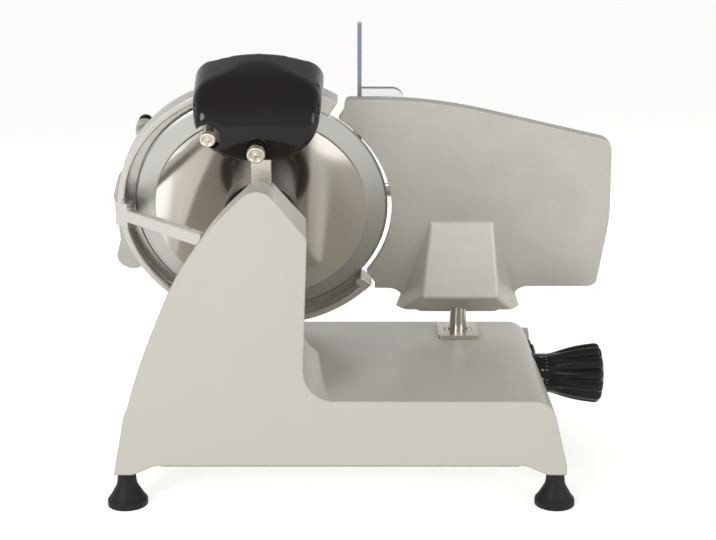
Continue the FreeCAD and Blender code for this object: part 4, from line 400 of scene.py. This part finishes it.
# Tick marks of the dial, spread by a Geometry Nodes tree: a long mark under each number, short ones between
def makeTickTree():
    tree = bpy.data.node_groups.new("dialTicks", "GeometryNodeTree")
    sockets = {"Steps": "NodeSocketInt", "Radius": "NodeSocketFloat", "Turn": "NodeSocketFloat",
               "Width": "NodeSocketFloat", "Length": "NodeSocketFloat", "Stand": "NodeSocketFloat"}
    for name, kind in sockets.items():
        tree.interface.new_socket(name, in_out="INPUT", socket_type=kind)
    tree.interface.new_socket("Geometry", in_out="OUTPUT", socket_type="NodeSocketGeometry")
    sizes = tree.nodes.new("NodeGroupInput").outputs
    count = addNode(tree, "Math", {"operation": "ADD"}, {0: sizes["Steps"], 1: 1.0})
    points = addNode(tree, "GeometryNodePoints", inputs={"Count": count.outputs[0]})
    index = addNode(tree, "GeometryNodeInputIndex").outputs[0]
    along = addNode(tree, "Math", {"operation": "DIVIDE"}, {0: index, 1: sizes["Steps"]})
    turn = addNode(tree, "Math", {"operation": "MULTIPLY"}, {0: along.outputs[0], 1: sizes["Turn"]}).outputs[0]
    around = addNode(tree, "CombineXYZ", inputs={"Z": turn})
    start = addNode(tree, "CombineXYZ", inputs={"X": sizes["Radius"]})
    spot = addNode(tree, "VectorRotate", {"rotation_type": "Z_AXIS"}, {"Vector": start.outputs[0], "Angle": turn})
    placed = addNode(tree, "GeometryNodeSetPosition", inputs={"Geometry": points.outputs[0],
                                                              "Position": spot.outputs[0]})
    barSize = addNode(tree, "CombineXYZ", inputs={"X": sizes["Stand"], "Y": sizes["Width"], "Z": sizes["Length"]})
    bar = addNode(tree, "GeometryNodeMeshCube", inputs={"Size": barSize.outputs[0], "Vertices Z": 3})
    after = addNode(tree, "Math", {"operation": "MODULO"}, {0: index, 1: dial["longEvery"]})
    short = addNode(tree, "Math", {"operation": "GREATER_THAN"}, {0: after.outputs[0], 1: 0.5})
    length = addNode(tree, "MapRange", inputs={"Value": short.outputs[0], "To Min": 1.0,
                                               "To Max": dial["shortShare"]})
    scale = addNode(tree, "CombineXYZ", inputs={"X": 1.0, "Y": 1.0, "Z": length.outputs[0]})
    marks = addNode(tree, "GeometryNodeInstanceOnPoints", inputs={
        "Points": placed.outputs[0], "Instance": bar.outputs[0], "Rotation": around.outputs[0],
        "Scale": scale.outputs[0]})
    solid = addNode(tree, "GeometryNodeRealizeInstances", inputs={"Geometry": marks.outputs[0]})
    painted = addNode(tree, "GeometryNodeSetMaterial", inputs={
        "Geometry": solid.outputs[0], "Material": bpy.data.materials["whiteDialPaint"]})
    addNode(tree, "NodeGroupOutput", inputs={"Geometry": painted.outputs[0]})
    return tree


tickHolder = newHolder("dialTicks", bpy.data.meshes.new("dialTicks"))
tickModifier = tickHolder.modifiers.new("dialTicks", "NODES")
tickModifier.node_group = makeTickTree()
tickValues = {"Steps": dial["ticks"], "Radius": dial["radius"] / 1000, "Turn": -math.radians(dial["turn"]),
              "Width": dial["tickWidth"] / 1000, "Length": dial["tickLength"] / 1000,
              "Stand": 2 * dial["stand"] / 1000}
for item in tickModifier.node_group.interface.items_tree:
    if item.name in tickValues:
        tickModifier[item.identifier] = tickValues[item.name]
tickMesh = evaluatedMesh(tickHolder)
tickLift = Matrix.Translation((0, 0, dial["tickLevel"] / 1000))
tickTurn = Matrix.Rotation(math.radians(dial["firstTurn"]), 4, "Z")
finishPiece(tickMesh, "dialTicks", "whiteDialPaint", "knob", knobPlace @ tickLift @ tickTurn)
print("dial ticks")

# I and O on the switch's buttons, facing the right side
switch = {"marks": {"start": "I", "stop": "O"}, "height": 6.0, "stand": 0.08, "sink": 0.00002}
facing = Matrix(((0, 0, 1), (1, 0, 0), (0, 1, 0))).to_4x4() @ Matrix.Scale(0.001, 4)
for name, words in switch["marks"].items():
    low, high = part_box(name + "_button")
    spot = Matrix.Translation((high[0] - switch["sink"], (low[1] + high[1]) / 2, (low[2] + high[2]) / 2))
    markMesh = raisedWords(words, switch["height"], switch["stand"])
    finishPiece(markMesh, name + "_mark", "whiteDialPaint", name + "_switch", spot @ facing)
print("switch marks")

# Push buttons of the sharpener: turned caps with a raised rim, a groove and a middle boss, each on its stem
pushCaps = {"sharpening": {"spot": (0.0054, 0.122, 0.1), "radius": 8, "stem": 92.6, "steps": 96},
            "deburring": {"spot": (-0.037, 0.133, 0.092), "radius": 7, "stem": 84.6, "steps": 96}}
for name, cap in pushCaps.items():
    r = cap["radius"]
    outline = [(0, -cap["stem"]), (3.6, -cap["stem"]), (4, 0.4 - cap["stem"]), (4, -0.6), (5, -0.6), (5, 0),
               (r - 0.5, 0), (r, 0.5), (r, 1.6), (r - 0.25, 1.85), (r - 0.25, 2.3), (r, 2.55), (r, 5.2),
               (r - 0.4, 5.8), (r - 0.9, 6), (r - 1.7, 6), (r - 2.2, 5.6), (r - 2.4, 4.9), (r - 3.5, 4.7),
               (r - 3.7, 5.1), (r - 4.3, 5.2), (r - 4.5, 4.6), (2.4, 4.6), (2.2, 5.3), (1.6, 5.6), (0, 5.7)]
    place = bladePlace @ Matrix.Translation(cap["spot"])
    finishPiece(turnedMesh(outline, cap["steps"]), name + "Cap", "creamAnodisedAluminium", name + "_plunger", place, 32,
                name + "_button")
print("push caps")

# Sharpener hood: the solid's skin made even and soft, as a moulding has it, wider and fuller towards its top
hood = {"merge": 0.00001, "voxel": 0.0014, "rounds": 34, "middle": 0.0056, "half": 0.058, "back": 0.017,
        "front": 0.095, "flare": 0.035, "liftFrom": 0.12, "liftTo": 0.17, "lift": 0.006, "widenFrom": 0.104,
        "widenTo": 0.142, "widen": 0.05}
hoodMesh = bmesh.new()
hoodMesh.from_mesh(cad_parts["sharpener_hood"].data)
bmesh.ops.remove_doubles(hoodMesh, verts=hoodMesh.verts, dist=hood["merge"])
roughSkin = bpy.data.meshes.new("hoodRough")
hoodMesh.to_mesh(roughSkin)
hoodMesh.free()
moulding = newHolder("hoodRough", roughSkin)
remesh = moulding.modifiers.new("evenSkin", "REMESH")
remesh.mode = "VOXEL"
remesh.voxel_size = hood["voxel"]
soften = moulding.modifiers.new("soften", "SMOOTH")
soften.factor = 0.5
soften.iterations = hood["rounds"]
softHood = evaluatedMesh(moulding)
toBlade = bladePlace.inverted()
for vert in softHood.verts:
    spot = toBlade @ vert.co
    forward = share(spot.z, hood["back"], hood["front"])
    across = (spot.x - hood["middle"]) / hood["half"]
    upward = share(spot.y, hood["liftFrom"], hood["liftTo"])
    spot.y += hood["lift"] * upward * upward * max(1 - across * across, 0)
    widened = share(spot.y, hood["widenFrom"], hood["widenTo"])
    spot.x += (spot.x - hood["middle"]) * (hood["widen"] * widened - hood["flare"] * eased(forward))
    vert.co = bladePlace @ spot
finishPiece(softHood, "glossHood", "glossBlackAbs", "frame", None, 60, "sharpener_hood")
print("hood moulded")

# Studio: pale floor, soft light that is stronger from the front than from above, camera
studio = {"floorTone": "E4E2DC", "floorSize": 30.0, "floorLift": 0.64, "horizonLevel": 0.85, "zenithLevel": 0.12,
          "mirrorLevel": 0.9, "ceilingLevel": 0.5, "ceilingStart": 0.2}
lamps = {"keyLamp": {"spot": (-1.2, -1.9, 1.0), "target": (0, 0, 0.2), "size": 1.0, "power": 21.0, "mirrored": True},
         "fillLamp": {"spot": (1.7, -1.4, 0.7), "target": (0, 0, 0.2), "size": 1.2, "power": 12.0, "mirrored": True},
         "rimLamp": {"spot": (-0.5, 1.5, 0.9), "target": (-0.05, 0, 0.3), "size": 1.0, "power": 9.0,
                     "mirrored": False}}


def seenRays(tree):
    # 1 where the camera, a reflection or a clear sheet looks, 0 where light falls on the object
    rays = addNode(tree, "LightPath").outputs
    seen = addNode(tree, "Math", {"operation": "MAXIMUM"}, {0: rays["Is Camera Ray"], 1: rays["Is Glossy Ray"]})
    return addNode(tree, "Math", {"operation": "MAXIMUM"}, {0: seen.outputs[0],
                                                            1: rays["Is Transmission Ray"]}).outputs[0]


bpy.ops.mesh.primitive_plane_add(size=studio["floorSize"], location=(0, 0, 0))
floor = bpy.context.object
floor.name = "studioFloor"
floorSockets = {"Roughness": 0.8, "Base Color": toLinear(studio["floorTone"]), "Emission Color": (1, 1, 1, 1)}
floorTree, floorShader = startMaterial("paleFloorPaper", floorSockets)[:2]
lift = addNode(floorTree, "Math", {"operation": "MULTIPLY"}, {0: seenRays(floorTree), 1: studio["floorLift"]})
floorTree.links.new(lift.outputs[0], floorShader.inputs["Emission Strength"])
floor.data.materials.append(bpy.data.materials["paleFloorPaper"])

world = bpy.data.worlds.new("studioWorld")
bpy.context.scene.world = world
world.use_nodes = True
sky = world.node_tree
sky.nodes.clear()
generated = addNode(sky, "TexCoord").outputs["Generated"]
height = addNode(sky, "SeparateXYZ", inputs={0: generated}).outputs["Z"]
level = addNode(sky, "MapRange", inputs={"Value": height, "To Min": studio["horizonLevel"],
                                         "To Max": studio["zenithLevel"]})
ceiling = addNode(sky, "MapRange", inputs={"Value": height, "From Min": studio["ceilingStart"],
                                           "To Min": studio["mirrorLevel"], "To Max": studio["ceilingLevel"]})
soft = addNode(sky, "Background", inputs={"Color": (1, 1, 1, 1), "Strength": level.outputs[0]})
shiny = addNode(sky, "Background", inputs={"Color": (1, 1, 1, 1), "Strength": ceiling.outputs[0]})
white = addNode(sky, "Background", inputs={"Color": (1, 1, 1, 1), "Strength": 1.0})
mirrored = addNode(sky, "LightPath").outputs["Is Glossy Ray"]
shown = addNode(sky, "MixShader", inputs={"Fac": mirrored, 1: white.outputs[0], 2: shiny.outputs[0]})
mixed = addNode(sky, "MixShader", inputs={"Fac": seenRays(sky), 1: soft.outputs[0], 2: shown.outputs[0]})
addNode(sky, "OutputWorld", inputs={"Surface": mixed.outputs[0]})

for name, lamp in lamps.items():
    data = bpy.data.lights.new(name, "AREA")
    data.shape = "DISK"
    data.size = lamp["size"]
    data.energy = lamp["power"]
    source = newHolder(name, data)
    source.location = lamp["spot"]
    source.visible_glossy = lamp["mirrored"]
    source.rotation_euler = (Vector(lamp["target"]) - Vector(lamp["spot"])).to_track_quat("-Z", "Y").to_euler()
print("studio ready")

photoView = {"lens": 70.4, "sensor": 36.0, "spot": (-0.00105, -1.37717, 0.546), "lean": 75}
cameraData = bpy.data.cameras.new("photoCamera")
cameraData.lens = photoView["lens"]
cameraData.sensor_width = photoView["sensor"]
camera = newHolder("photoCamera", cameraData)
camera.location = photoView["spot"]
camera.rotation_euler = (math.radians(photoView["lean"]), 0, 0)
scene = bpy.context.scene
scene.camera = camera
scene.view_settings.view_transform = "Standard"
